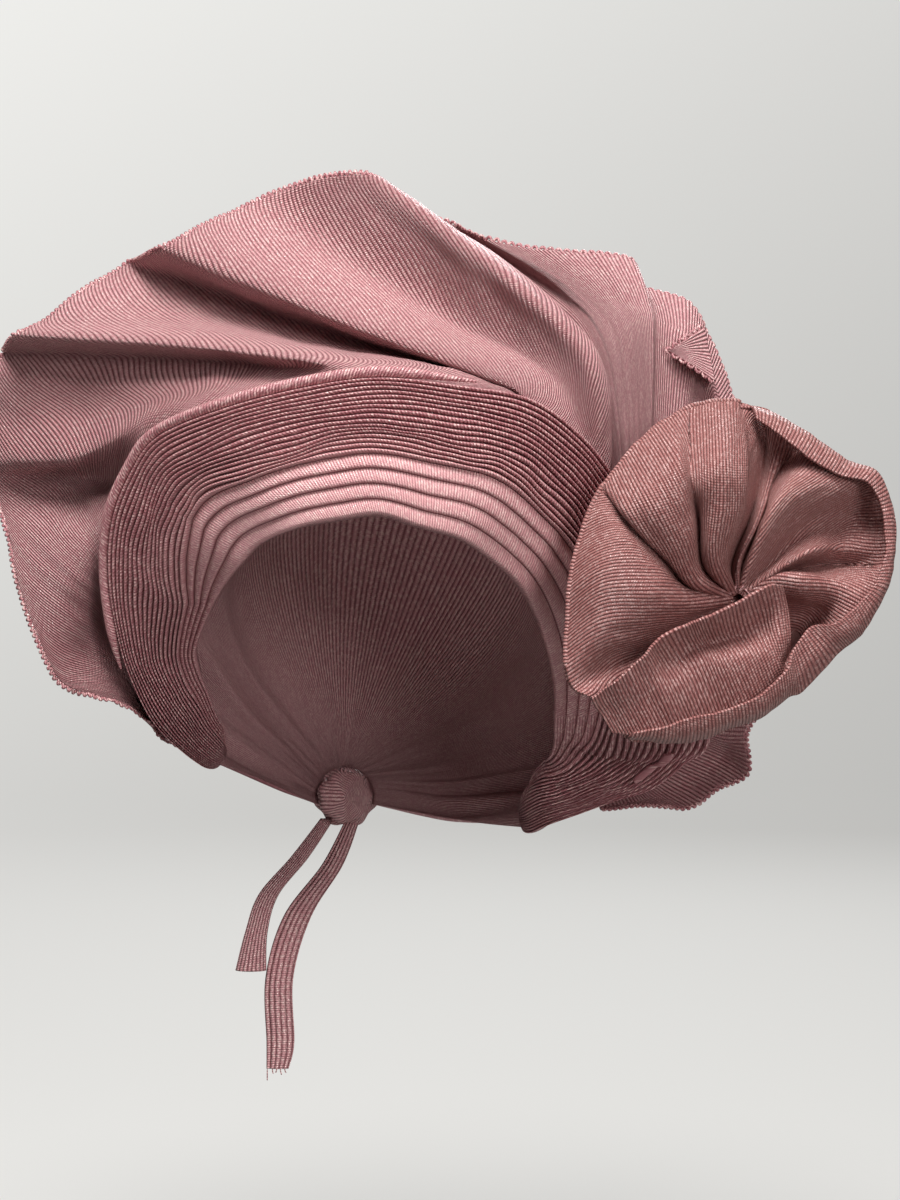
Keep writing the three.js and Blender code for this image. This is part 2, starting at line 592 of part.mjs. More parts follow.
// The short tie, a hollow tube of cloth open at its flared end.
function shortTie() {
  const sides = 12;
  const rings = Array.from({ length: sides }, (_, k) => {
    const angle = (2 * Math.PI * k) / sides;
    return shortTieRings.map((r) =>
      vec(r.x + (r.wide / 2) * Math.cos(angle), r.y + (r.deep / 2) * Math.sin(angle), r.z));
  });
  const surface = (u, v) => through(rings[Math.round(u * sides) % sides], v);
  return sheet("tie_short", clothMaterials.main, surface,
    { across: sides, along: 6, wall: 1.2, loop: true });
}

const longTieRows = table(["x", "y", "z", "wide", "dent"], [
  [nape.x + 3, nape.y + 4, knotBottom - 0.4, 7, 1],
  [nape.x - 6, nape.y - 8, knotBottom - 0.16 * longTieDrop, 10, 2],
  [nape.x - 22, nape.y - 24, knotBottom - 0.34 * longTieDrop, tieWide, 2.5],
  [nape.x - 30, nape.y - 32, knotBottom - 0.56 * longTieDrop, tieWide, 2],
  [nape.x - 29.5, nape.y - 32, knotBottom - 0.8 * longTieDrop, tieWide, 2],
  [nape.x - 30.8, nape.y - 32, knotBottom - longTieDrop * 0.9, 0.8 * tieWide, 1],
]);

// A cloth through a table of folds.
function foldedCloth(name, material, rows, across, along) {
  return sheet(name, material, patch(rows), { across, along, wall: clothWall });
}

const fanFrontRows = foldRows(frontFolds, [1, 2, 3], fanReach, clothWall);
const fanBackRows = foldRows(backFolds, [1, 2, 3], fanReach, clothWall / 2);
const sideTailRows = foldRows(tailFolds, [1, 2], tailReach, clothWall);
const [gatherBack, gatherFront] = [0.05 * rosetteReach, -0.335 * rosetteReach];
const rosetteKnot = roundBody(
  "rosette_knot", clothMaterials.plain, rosetteCentre, gatherWide, gatherBack, gatherFront);
const napeKnot = roundBody(
  "nape_knot", clothMaterials.main, nape, knotRadius, -knotDeep / 2, knotDeep / 2);

const group = new THREE.Group();
group.add(pleatedFront());
group.add(outerPleat());
group.add(crownCap());
group.add(foldedCloth("fan_front", clothMaterials.main, fanFrontRows, 48, 8));
group.add(foldedCloth("fan_back", clothMaterials.main, fanBackRows, 18, 6));
group.add(foldedCloth("side_tail", clothMaterials.dark, sideTailRows, 14, 4));
group.add(rosetteBack());
group.add(rosetteFlap());
group.add(rosetteRim());
group.add(petal("rosette_petal_left", 10, 7));
group.add(petal("rosette_petal_upper", 10, 7));
group.add(petal("rosette_petal_centre", 6, 6));
group.add(petal("rosette_fold_inner", 4, 6));
group.add(petal("rosette_fold_outer", 4, 6));
group.add(petal("rosette_cup", 6, 6));
group.add(petal("rosette_petal_right", 4, 6));
group.add(rosetteKnot);
group.add(napeKnot);
group.add(strip("tie_long", clothMaterials.dark, longTieRows, clothWall));
group.add(shortTie());

export default group;
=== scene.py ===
import math
import bmesh
import bpy
from mathutils import Matrix, Vector, noise


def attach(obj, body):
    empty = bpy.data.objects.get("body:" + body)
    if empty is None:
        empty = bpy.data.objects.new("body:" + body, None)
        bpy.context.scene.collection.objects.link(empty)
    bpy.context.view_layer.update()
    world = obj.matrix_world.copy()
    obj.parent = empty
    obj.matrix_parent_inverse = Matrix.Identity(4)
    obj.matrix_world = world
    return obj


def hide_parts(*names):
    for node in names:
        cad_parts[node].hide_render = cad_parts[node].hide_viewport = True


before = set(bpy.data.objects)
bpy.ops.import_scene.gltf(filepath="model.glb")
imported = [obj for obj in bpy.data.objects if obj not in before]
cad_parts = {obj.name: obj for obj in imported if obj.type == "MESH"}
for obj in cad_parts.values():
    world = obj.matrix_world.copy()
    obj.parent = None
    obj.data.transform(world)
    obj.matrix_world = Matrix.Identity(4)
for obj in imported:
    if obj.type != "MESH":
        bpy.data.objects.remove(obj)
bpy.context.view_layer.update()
print("frame loaded, nodes:", len(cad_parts))


# camera, light and floor
studio = {"cameraPlace": (0.0315, -1.0, -0.07), "lens": 66.667, "sensor": 36, "floorHeight": -0.42,
          "wallRadius": 4.5, "flatShare": 0.55, "bends": 8, "floorColour": (0.22, 0.22, 0.215),
          "glowColour": (0.36, 0.36, 0.35), "glow": 1.53, "glowAcross": -0.22, "glowUp": 0.32,
          "airColour": (1, 0.89, 0.88), "airStrength": 0.30}
# name, place, target, size, power, colour
lights = [
    ("keyLight", (-0.15, -0.95, 1.6), (0, 0, 0), 0.9, 53, (1, 0.985, 0.96)),
    ("fillLight", (1.0, -1.9, 0.5), (0, 0, -0.05), 0.8, 17, (1, 0.96, 0.94)),
    ("backLight", (0.4, 1.7, 0.9), (0, 0.05, 0), 1.0, 12, (0.98, 0.99, 1)),
]
bpy.context.scene.view_settings.view_transform = "Standard"


def mathNode(tree, operation, a, b=None, c=None, clamp=False):
    node = tree.nodes.new("ShaderNodeMath")
    node.operation = operation
    node.use_clamp = clamp
    for k, value in enumerate((a, b, c)):
        if value is None:
            continue
        if isinstance(value, (int, float)):
            node.inputs[k].default_value = value
        else:
            tree.links.new(value, node.inputs[k])
    return node.outputs[0]


def makeCamera():
    data = bpy.data.cameras.new("camera")
    data.lens = studio["lens"]
    data.sensor_width = studio["sensor"]
    camera = bpy.data.objects.new("camera", data)
    camera.location = studio["cameraPlace"]
    camera.rotation_euler = (math.pi / 2, 0, 0)
    bpy.context.collection.objects.link(camera)
    bpy.context.scene.camera = camera


def makeLight(name, place, target, size, power, colour):
    data = bpy.data.lights.new(name, "AREA")
    data.shape = "DISK"
    data.size = size
    data.energy = power
    data.color = colour
    light = bpy.data.objects.new(name, data)
    light.location = place
    aim = Vector(target) - Vector(place)
    light.rotation_euler = aim.to_track_quat("-Z", "Y").to_euler()
    light.visible_camera = False
    bpy.context.collection.objects.link(light)


def objectFrom(bm, name, material):
    mesh = bpy.data.meshes.new(name)
    bm.to_mesh(mesh)
    bm.free()
    mesh.materials.append(material)
    made = bpy.data.objects.new(name, mesh)
    bpy.context.collection.objects.link(made)
    return made


def makeGlowingPaper():
    # painted light: it glows to the camera alone, brighter upwards and to the left, as a lit backdrop would
    # look
    material = bpy.data.materials.new("paperWithPaintedGlow")
    material.use_nodes = True
    tree = material.node_tree
    shader = tree.nodes["Principled BSDF"]
    shader.inputs["Base Color"].default_value = (*studio["floorColour"], 1)
    shader.inputs["Roughness"].default_value = 0.9
    shader.inputs["Emission Color"].default_value = (*studio["glowColour"], 1)
    path = tree.nodes.new("ShaderNodeLightPath")
    place = tree.nodes.new("ShaderNodeTexCoord")
    fade = tree.nodes.new("ShaderNodeVectorMath")
    fade.operation = "DOT_PRODUCT"
    fade.inputs[1].default_value = (studio["glowAcross"], 0, studio["glowUp"])
    tree.links.new(place.outputs["Object"], fade.inputs[0])
    glow = mathNode(tree, "ADD", fade.outputs["Value"], studio["glow"])
    seen = mathNode(tree, "MULTIPLY", glow, path.outputs["Is Camera Ray"])
    tree.links.new(seen, shader.inputs["Emission Strength"])
    return material


def makeFloor():
    # a flat floor that sweeps up into a round wall, far enough off for any view
    bm = bmesh.new()
    radius, low = studio["wallRadius"], studio["floorHeight"]
    flat, bend = studio["flatShare"] * radius, (1 - studio["flatShare"]) * radius
    profile = [(0, 0), (flat, 0)]
    for k in range(1, studio["bends"] + 1):
        angle = k * math.pi / 2 / studio["bends"]
        profile.append((flat + bend * math.sin(angle), bend * (1 - math.cos(angle))))
    profile.append((radius, radius))
    points = [bm.verts.new((x, 0, low + z)) for x, z in profile]
    edges = [bm.edges.new(pair) for pair in zip(points, points[1:])]
    bmesh.ops.spin(bm, geom=points + edges, cent=(0, 0, 0), axis=(0, 0, 1), angle=2 * math.pi,
                   steps=64, use_merge=True)
    bmesh.ops.remove_doubles(bm, verts=bm.verts, dist=0.0001)
    bmesh.ops.recalc_face_normals(bm, faces=bm.faces)
    floor = objectFrom(bm, "studio_floor", makeGlowingPaper())
    floor.data.shade_smooth()


def makeAir():
    world = bpy.data.worlds.new("studioAir")
    world.use_nodes = True
    backdrop = world.node_tree.nodes["Background"]
    backdrop.inputs["Color"].default_value = (*studio["airColour"], 1)
    backdrop.inputs["Strength"].default_value = studio["airStrength"]
    bpy.context.scene.world = world


makeCamera()
makeFloor()
for light in lights:
    makeLight(*light)
makeAir()
print("camera, floor and lights made")


# cloth shaders
weaveInputs = {"Rib Pitch": "ribPitch", "Thread Pitch": "threadPitch", "Sparkle Size": "sparkleSize",
               "Sparkle Share": "sparkleShare"}
weave = {"wander": 0.12, "wanderScale": 90, "ribRound": 0.7, "threadLean": 0.6, "threadRound": 0.8,
         "threadHeight": 0.35, "dashLong": 0.0028, "dashContrast": 1.5, "cloudScale": 22, "cloudGain": 0.5,
         "cloudFrom": -0.1, "crestSharp": 5, "dashShare": 0.75, "ribGloss": 0.12, "sparkleGloss": 0.2,
         "sheenRough": 0.45}


def makeWeaveGroup():
    # ribs run along the map's second direction, and threads cross them
    group = bpy.data.node_groups.new("ribbedWeave", "ShaderNodeTree")
    group.interface.new_socket(name="Place", in_out="INPUT", socket_type="NodeSocketVector")
    for name in weaveInputs:
        group.interface.new_socket(name=name, in_out="INPUT", socket_type="NodeSocketFloat")
    for name in ("Rib", "Thread", "Dash", "Sparkle", "Cloudy", "Height"):
        group.interface.new_socket(name=name, in_out="OUTPUT", socket_type="NodeSocketFloat")
    nodes, links = group.nodes, group.links
    start, end = nodes.new("NodeGroupInput"), nodes.new("NodeGroupOutput")

    def maths(*values):
        return mathNode(group, *values)

    def cloudy(scale, detail):
        cloud = nodes.new("ShaderNodeTexNoise")
        cloud.inputs["Scale"].default_value = scale
        cloud.inputs["Detail"].default_value = detail
        links.new(start.outputs["Place"], cloud.inputs["Vector"])
        return cloud.outputs["Fac"]

    split = nodes.new("ShaderNodeSeparateXYZ")
    links.new(start.outputs["Place"], split.inputs[0])
    wander = maths("MULTIPLY", maths("SUBTRACT", cloudy(weave["wanderScale"], 3), 0.5), weave["wander"])
    ribPlace = maths("ADD", maths("DIVIDE", split.outputs[0], start.outputs["Rib Pitch"]), wander)
    ribWave = maths("ABSOLUTE", maths("SINE", maths("MULTIPLY", ribPlace, math.pi)))
    rib = maths("POWER", ribWave, weave["ribRound"])
    # neighbouring ribs have their threads half a step apart
    step = maths("MULTIPLY", maths("FLOOR", ribPlace), 0.5)
    threadPlace = maths("ADD", maths("DIVIDE", split.outputs[1], start.outputs["Thread Pitch"]), step)
    lean = maths("MULTIPLY", maths("FRACT", ribPlace), weave["threadLean"])
    threadWave = maths("SINE", maths("MULTIPLY", maths("ADD", threadPlace, lean), math.pi))
    thread = maths("POWER", maths("ABSOLUTE", threadWave), weave["threadRound"])
    glint = nodes.new("ShaderNodeTexVoronoi")
    glint.feature = "F1"
    stretch = nodes.new("ShaderNodeVectorMath")
    stretch.operation = "MULTIPLY"
    stretch.inputs[1].default_value = (1, 0.5, 1)
    links.new(start.outputs["Place"], stretch.inputs[0])
    links.new(stretch.outputs[0], glint.inputs["Vector"])
    links.new(maths("DIVIDE", 1.0, start.outputs["Sparkle Size"]), glint.inputs["Scale"])
    tint = nodes.new("ShaderNodeSeparateColor")
    links.new(glint.outputs["Color"], tint.inputs[0])
    chosen = maths("LESS_THAN", tint.outputs[0], start.outputs["Sparkle Share"])
    # each rib is lit in short dashes, as its threads come and go
    seat = nodes.new("ShaderNodeCombineXYZ")
    links.new(maths("FLOOR", ribPlace), seat.inputs[0])
    links.new(maths("FLOOR", maths("DIVIDE", split.outputs[1], weave["dashLong"])), seat.inputs[1])
    dash = nodes.new("ShaderNodeTexWhiteNoise")
    dash.noise_dimensions = "2D"
    links.new(seat.outputs[0], dash.inputs["Vector"])
    made = {
        "Rib": rib,
        "Thread": thread,
        "Dash": maths("POWER", dash.outputs["Value"], weave["dashContrast"]),
        "Sparkle": maths("MULTIPLY", chosen, rib),
        "Cloudy": cloudy(weave["cloudScale"], 4),
        "Height": maths("ADD", rib, maths("MULTIPLY", thread, weave["threadHeight"])),
    }
    for name, value in made.items():
        links.new(value, end.inputs[name])
    return group


weaveGroup = makeWeaveGroup()


def mixColour(tree, share, first, second, blend="MIX"):
    node = tree.nodes.new("ShaderNodeMix")
    node.data_type = "RGBA"
    node.blend_type = blend
    for socket, value in ((node.inputs[0], share), (node.inputs[6], first), (node.inputs[7], second)):
        if isinstance(value, (int, float)):
            socket.default_value = value
        elif isinstance(value, tuple):
            socket.default_value = (*value, 1)
        else:
            tree.links.new(value, socket)
    return node.outputs[2]


def fromScreen(red, green, blue):
    def linear(value):
        value /= 255
        return value / 12.92 if value <= 0.04045 else ((value + 0.055) / 1.055) ** 2.4
    return tuple(linear(value) for value in (red, green, blue))


def clothMaterial(name, look):
    material = bpy.data.materials.new(name)
    material.use_nodes = True
    tree = material.node_tree
    shader = tree.nodes["Principled BSDF"]
    place = tree.nodes.new("ShaderNodeUVMap")
    place.uv_map = "weave"
    cloth = tree.nodes.new("ShaderNodeGroup")
    cloth.node_tree = weaveGroup
    tree.links.new(place.outputs[0], cloth.inputs["Place"])
    for socket, key in weaveInputs.items():
        cloth.inputs[socket].default_value = look[key]
    rib, thread, dash, sparkle, clouds = (
        cloth.outputs[key] for key in ("Rib", "Thread", "Dash", "Sparkle", "Cloudy"))

    def maths(*values, clamp=False):
        return mathNode(tree, *values, clamp=clamp)

    def marked(name):
        mark = tree.nodes.new("ShaderNodeAttribute")
        mark.attribute_name = name
        return mark.outputs["Fac"]

    # the rib pattern, with painted shade in the grooves between ribs
    colour = mixColour(tree, rib, look["grooveShade"], look["colour"])
    # painted light: the attribute multiplies the colour brighter on the brow bands
    colour = mixColour(tree, marked("paintedLight"), colour, look["paintedLightGain"], "MULTIPLY")
    # painted highlight on the rib crests, broken into dashes along the threads
    crestHighlight = maths("MULTIPLY", maths("POWER", rib, weave["crestSharp"]), thread)
    crestHighlight = maths("MULTIPLY", crestHighlight, maths("MULTIPLY_ADD", dash, weave["dashShare"], 1 - weave["dashShare"]))
    colour = mixColour(tree, maths("MULTIPLY", crestHighlight, look["threadHighlight"]), colour, look["light"])
    cloudy = maths("MULTIPLY_ADD", clouds, weave["cloudGain"], weave["cloudFrom"], clamp=True)
    colour = mixColour(tree, maths("MULTIPLY", cloudy, look["clouds"]), colour, look["shade"])
    colour = mixColour(tree, maths("MULTIPLY", sparkle, look["sparkle"]), colour, look["glint"])
    # painted shade from the attribute, in creases, pleat valleys, fold hollows and along the hem
    deep = maths("MULTIPLY", marked("paintedShade"), look["paintedShadeStrength"], clamp=True)
    tree.links.new(mixColour(tree, deep, colour, look["paintedShade"]), shader.inputs["Base Color"])
    rough = maths("MULTIPLY_ADD", rib, -weave["ribGloss"], look["roughness"] + weave["ribGloss"])
    rough = maths("MULTIPLY_ADD", sparkle, -weave["sparkleGloss"], rough, clamp=True)
    tree.links.new(rough, shader.inputs["Roughness"])
    bump = tree.nodes.new("ShaderNodeBump")
    bump.inputs["Distance"].default_value = look["bump"]
    bump.inputs["Strength"].default_value = 1
    tree.links.new(cloth.outputs["Height"], bump.inputs["Height"])
    tree.links.new(bump.outputs[0], shader.inputs["Normal"])
    shader.inputs["Sheen Weight"].default_value = look["sheen"]
    shader.inputs["Sheen Roughness"].default_value = weave["sheenRough"]
    shader.inputs["Sheen Tint"].default_value = (*look["light"], 1)
    shader.inputs["Specular IOR Level"].default_value = look["specular"]
    return material


ribbedLook = {
    "colour": fromScreen(215, 156, 160),
    # painted shade between the ribs
    "grooveShade": fromScreen(150, 87, 94),
    # painted highlight on the rib crests, and the sheen tint
    "light": fromScreen(244, 192, 196),
    "shade": fromScreen(164, 98, 106),
    "glint": fromScreen(252, 216, 212),
    # painted shade colour for creases and fold hollows, and how strongly it is laid on
    "paintedShade": fromScreen(100, 28, 34),
    "paintedShadeStrength": 0.85,
    # gain for the painted light on the brow bands
    "paintedLightGain": (1.75, 2.3, 2.15),
    "ribPitch": 0.002,
    "threadPitch": 0.0011,
    # how strongly the painted crest highlight is laid on
    "threadHighlight": 0.8,
    "clouds": 0.35,
    "sparkle": 0.7,
    "sparkleShare": 0.3,
    "sparkleSize": 0.00055,
    "roughness": 0.36,
    "bump": 0.001,
    "sheen": 0.22,
    "specular": 0.48,
}
stitchLook = {
    **ribbedLook,
    "colour": fromScreen(230, 174, 175),
    # painted shade between the ribs
    "grooveShade": fromScreen(204, 144, 148),
    "shade": fromScreen(218, 160, 162),
    "bump": 0.0004,
}
pleatLook = {
    **ribbedLook,
    "colour": fromScreen(174, 112, 118),
    # painted shade between the ribs
    "grooveShade": fromScreen(142, 84, 90),
    "ribPitch": 0.0014,
    "bump": 0.00025,
    # full strength for the painted shade in the pleat valleys
    "paintedShadeStrength": 1.0,
}
plainLook = {
    **ribbedLook,
    "colour": fromScreen(162, 104, 102),
    # painted shade between the ribs
    "grooveShade": fromScreen(100, 58, 58),
    # painted highlight on the rib crests, and the sheen tint
    "light": fromScreen(206, 158, 150),
    "shade": fromScreen(124, 78, 76),
    "ribPitch": 0.0015,
    # how strongly the painted crest highlight is laid on
    "threadHighlight": 0.5,
    "sparkle": 0.3,
    "bump": 0.0005,
    "sheen": 0.2,
}
cloths = {
    "ribbed": clothMaterial("ribbedCloth", ribbedLook),
    "stitch": clothMaterial("stitchCloth", stitchLook),
    "pleat": clothMaterial("pleatCloth", pleatLook),
    "plain": clothMaterial("plainCloth", plainLook),
}
print("cloth shaders made")


# surfaces through tables of points
def parts(whole, kept, rows):
    # a table's cells after the first few, as parts of a whole
    return [(*row[:kept], *(cell / whole for cell in row[kept:])) for row in rows]


def through(points, share):
    place = min(max(share, 0), 1) * (len(points) - 1)
    i = min(int(place), len(points) - 2)
    f = place - i
    before, here = points[max(i - 1, 0)], points[i]
    after, beyond = points[i + 1], points[min(i + 2, len(points) - 1)]
    return (before * (-f + 2 * f * f - f ** 3) + here * (2 - 5 * f * f + 3 * f ** 3)
            + after * (f + 4 * f * f - 3 * f ** 3) + beyond * (f ** 3 - f * f)) / 2


def mix(a, b, share):
    return a + (b - a) * share


def patchGrid(rows, across, along, loop=False):
    fine = [[through(row, j / along) for j in range(along + 1)] for row in rows]
    grid = []
    count = len(rows)
    for i in range(across + 1):
        line = []
        for j in range(along + 1):
            column = [row[j] for row in fine]
            if loop:
                column = [column[-1], *column, column[0], column[1]]
                line.append(through(column, (1 + (i / across) * count) / (count + 2)))
            else:
                line.append(through(column, i / across))
        grid.append(line)
    return grid


def gridNormal(grid, i, j, loop=False):
    last = len(grid) - 1
    if loop:
        di = grid[(i + 1) % last][j] - grid[(i - 1) % last][j]
    else:
        di = grid[min(i + 1, last)][j] - grid[max(i - 1, 0)][j]
    dj = grid[i][min(j + 1, len(grid[i]) - 1)] - grid[i][max(j - 1, 0)]
    return di.cross(dj).normalized()


def lengthsAcross(grid, j):
    return lengthsAlong([row[j] for row in grid])


def lengthsAlong(row):
    sums = [0.0]
    for a, b in zip(row, row[1:]):
        sums.append(sums[-1] + (b - a).length)
    return sums


def ribMap(grid, lay, sideways=0.16, ribLean=0.1):
    # where each point lies on the flat cloth, in metres, with the ribs along the second direction
    along = [lengthsAlong(row) for row in grid]
    last = len(grid[0]) - 1
    if lay == "parallel":
        middle = len(grid) // 2
        across = [lengthsAcross(grid, j) for j in range(last + 1)]
        return [[(across[j][i] - across[j][middle], along[i][j]) for j in range(last + 1)]
                for i in range(len(grid))]
    rim, root = lengthsAcross(grid, last), lengthsAcross(grid, 0)
    if lay == "root":
        rim = root
    places = []
    for i in range(len(grid)):
        spare = (rim[-1] - rim[i]) - (root[-1] - root[i])
        drift = sideways * math.tanh(spare / sideways) + ribLean * i / len(grid) if lay == "fan" else 0
        places.append([(rim[i] + drift * (1 - j / last), along[i][j]) for j in range(last + 1)])
    return places


def wrinkled(grid, places, crease, seed, loop=False):
    # soft creases, longer along the ribs than across them, given as height, width and length
    high, wide, long = crease
    made = []
    for i, row in enumerate(grid):
        line = []
        for j, point in enumerate(row):
            x, y = places[i][j]
            lift = noise.noise(Vector((x / wide, y / long, seed))) + 0.5 * noise.noise(
                Vector((2.3 * x / wide, 2.1 * y / long, seed + 7)))
            line.append(point + gridNormal(grid, i, j, loop) * (high * lift))
        made.append(line)
    return made


def clothObject(name, grid, places, cloth, wall=None, weld=False, paintedShades=None, paintedLights=None):
    across, along = len(grid) - 1, len(grid[0]) - 1
    bm = bmesh.new()
    bmesh.ops.create_grid(bm, x_segments=across, y_segments=along, size=1)
    layer = bm.loops.layers.uv.new("weave")
    # per-point shares of painted shade and painted light, stored as attributes
    depth, paintedLightLayer = bm.verts.layers.float.new("paintedShade"), bm.verts.layers.float.new("paintedLight")
    seats = {v: (round((v.co.x + 1) / 2 * across), round((v.co.y + 1) / 2 * along)) for v in bm.verts}
    for vert, (i, j) in seats.items():
        vert.co = grid[i][j]
        vert[depth] = paintedShades[i][j] if paintedShades else 0
        vert[paintedLightLayer] = paintedLights[i][j] if paintedLights else 0
    for face in bm.faces:
        face.smooth = True
        for corner in face.loops:
            i, j = seats[corner.vert]
            corner[layer].uv = places[i][j]
    if weld:
        bmesh.ops.remove_doubles(bm, verts=bm.verts, dist=0.000002)
        bmesh.ops.recalc_face_normals(bm, faces=bm.faces)
    piece = objectFrom(bm, name, cloths[cloth])
    if wall:
        solid = piece.modifiers.new("clothWall", "SOLIDIFY")
        solid.thickness = wall
        solid.offset = 0
    return piece


def clothArea(grid):
    total = 0
    for row, following in zip(grid, grid[1:]):
        for j in range(len(row) - 1):
            total += (following[j + 1] - row[j]).cross(following[j] - row[j + 1]).length / 2
    return total


def flatSize(grid):
    # width, length and area of the cloth before it was folded
    wide = max(lengthsAcross(grid, j)[-1] for j in range(len(grid[0])))
    return wide, max(lengthsAlong(row)[-1] for row in grid), clothArea(grid)


def tell(piece, nodes=()):
    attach(piece, "root")
    if nodes:
        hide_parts(*nodes)


def settle(piece, nodes, grid, goesWith=()):
    wide, deep, area = flatSize(grid)
    flat = (wide, deep)
    if area < 0.35 * wide * deep or area > wide * deep:
        flat, area = (area / deep, deep), None
    tell(piece, nodes)


# picot loops along a selvedge
picots = {"thread": 0.0006, "width": 0.8, "reach": 0.0021, "pitch": 0.0026, "backPitch": 0.0037}


def onlyVerts(geometry):
    return [part for part in geometry if isinstance(part, bmesh.types.BMVert)]


def picotEdge(name, grid, pitch):
    edge, inner = [row[-1] for row in grid], [row[-2] for row in grid]
    lengths = lengthsAlong(edge)
    count = max(int(lengths[-1] / pitch), 2)
    bm = bmesh.new()
    bmesh.ops.create_circle(bm, cap_ends=False, segments=5, radius=picots["thread"])
    ring = list(bm.edges)
    for vert in bm.verts:
        vert.co = Vector((vert.co.x + picots["width"] * pitch / 2, 0, vert.co.y))
    bmesh.ops.spin(bm, geom=list(bm.verts) + ring, cent=(0, 0, 0), axis=(0, 0, 1), angle=math.pi, steps=5)
    for vert in bm.verts:
        vert.co.y *= picots["reach"] / (picots["width"] * pitch / 2)
    bmesh.ops.recalc_face_normals(bm, faces=bm.faces)
    single = list(bm.verts) + list(bm.edges) + list(bm.faces)
    place = 0
    for k in range(count):
        goal = (k + 0.5) * lengths[-1] / count
        while lengths[place + 1] < goal:
            place += 1
        share = (goal - lengths[place]) / max(lengths[place + 1] - lengths[place], 1e-9)
        centre = mix(edge[place], edge[place + 1], share)
        run = (edge[place + 1] - edge[place]).normalized()
        out = centre - mix(inner[place], inner[place + 1], share)
        out = (out - run * out.dot(run)).normalized()
        matrix = Matrix((run, out, run.cross(out))).transposed().to_4x4()
        matrix.translation = centre - out * picots["thread"]
        copy = bmesh.ops.duplicate(bm, geom=single)["geom"]
        bmesh.ops.transform(bm, matrix=matrix, verts=onlyVerts(copy))
    bmesh.ops.delete(bm, geom=onlyVerts(single), context="VERTS")
    layer = bm.loops.layers.uv.new("weave")
    for face in bm.faces:
        face.smooth = True
        for corner in face.loops:
            corner[layer].uv = (corner.vert.co.x + corner.vert.co.y, corner.vert.co.z)
    piece = objectFrom(bm, name, cloths["pleat"])
    tell(piece)
    return piece


# pleated front round the face
front = {"faceHalfWide": 0.076, "faceReach": 0.083, "faceTall": 0.165, "wide": 0.062, "wall": 0.0046,
         "bulge": 0.005, "flatBands": 4, "finePleats": 17, "flatBandsShare": 0.42, "flatStep": 0.0011,
         "fineStep": 0.0023, "valley": -0.0014, "flatValley": -0.0006, "steps": 470, "wander": 0.0032,
         "flatWide": 0.085, "roundEnd": 12, "evenUntil": 7.2, "evenFrom": 16.4, "evenOver": 2.0,
         "paintedLightUntil": 0.62, "paintedLightFade": 0.22, "turnFrom": 17.6,
         "flatCut": [0, 0.03, 0.07, 0.12, 0.2, 0.35, 0.55, 0.75, 0.88, 0.96],
         "fineCut": [0, 0.1, 0.22, 0.4, 0.6, 0.8, 0.93]}
gap = 0.00035

# x, y, z of the face edge, then the way from there to the outer edge, in hundredths
bandSections = parts(100, 0, [
    (-94, 36, -80, -11, 13, -31),
    (-100, 22, -74, -24, 11, -30),
    (-104, 10, -67, -40, 3, -24),
    (-107, 0, -62, -50, 3, -6),
    (-108, -10, -56, -56, 5, 7),
    (-98, -30, -46, -73, 16, 26),
    (-88, -48, -39, -80, 24, 49),
    (-76, -66, -33, -78, 32, 67),
    (-64, -77, -28, -72, 31, 76),
    (-41, -92, -24, -53, 26, 82),
    (-18, -98, -22, -28, 21, 89),
    (3, -100, -21, -1, 18, 93),
    (25, -98, -24, 27, 18, 96),
    (47, -92, -27, 48, 19, 96),
    (64, -80, -32, 62, 18, 86),
    (81, -65, -39, 64, 15, 79),
    (93, -43, -49, 81, 10, 60),
    (102, -18, -64, 98, 0, 43),
    (103, 0, -79, 115, 0, 1),
    (103, 4, -82, 98, 8, -13),
    (102, 6, -84, 76, 11, -27),
    (101, 8, -85, 52, 13, -33),
    (100, 12, -86, 26, 13, -41),
    (98, 17, -87, 5, 13, -48),
    (90, 30, -92, -6, 16, -49),
])
sectionCount = len(bandSections) - 1
faceEdge = [Vector((r[0] * front["faceHalfWide"], r[1] * front["faceReach"], r[2] * front["faceTall"]))
            for r in bandSections]
outerEdge = [edge + Vector(r[3:]) * front["wide"] for edge, r in zip(faceEdge, bandSections)]


def bandPoint(s, v):
    return mix(through(faceEdge, s / sectionCount), through(outerEdge, s / sectionCount), v)


def bandNormal(s, v):
    low, high = max(s - 0.05, 0), min(s + 0.05, sectionCount)
    ds = bandPoint(high, v) - bandPoint(low, v)
    return ds.cross(bandPoint(s, 1) - bandPoint(s, 0)).normalized()


def bandSurface(s, v, height):
    return bandPoint(s, v) + bandNormal(s, v) * (front["bulge"] * math.sin(math.pi * v) + height)


def pleatStarts():
    share, bands, pleats = front["flatBandsShare"], front["flatBands"], front["finePleats"]
    flat = [k * share / bands for k in range(bands)]
    return flat + [share + k * (1 - share) / pleats for k in range(pleats + 1)]


def pleatHeight(t, peak):
    # a fold edge that rises at once and falls away slowly under the next pleat
    if t < peak:
        return math.sin(math.pi / 2 * t / peak) ** 0.75
    return 1 - ((t - peak) / (1 - peak)) ** 2.2


# the loose strap end that lies on the low right pleats
strap = {"first": 18.3, "last": 19.8, "low": 0.70, "high": 0.765, "lift": 0.0052, "wall": 0.0020,
         "roundShare": 0.86}


def makeStrap():
    grid = []
    for i in range(9):
        row = []
        for j in range(31):
            t = j / 30
            past = max(0, (t - strap["roundShare"]) / (1 - strap["roundShare"]))
            v = mix(strap["low"], strap["high"], 0.5 + (i / 8 - 0.5) * math.sqrt(1 - 0.98 * past * past))
            row.append(bandSurface(mix(strap["first"], strap["last"], t), v, strap["lift"] * (0.6 + 0.4 * t)))
        grid.append(row)
    piece = clothObject("strap_end_cloth", grid, ribMap(grid, "rim"), "pleat", wall=strap["wall"])
    tell(piece)
    return piece


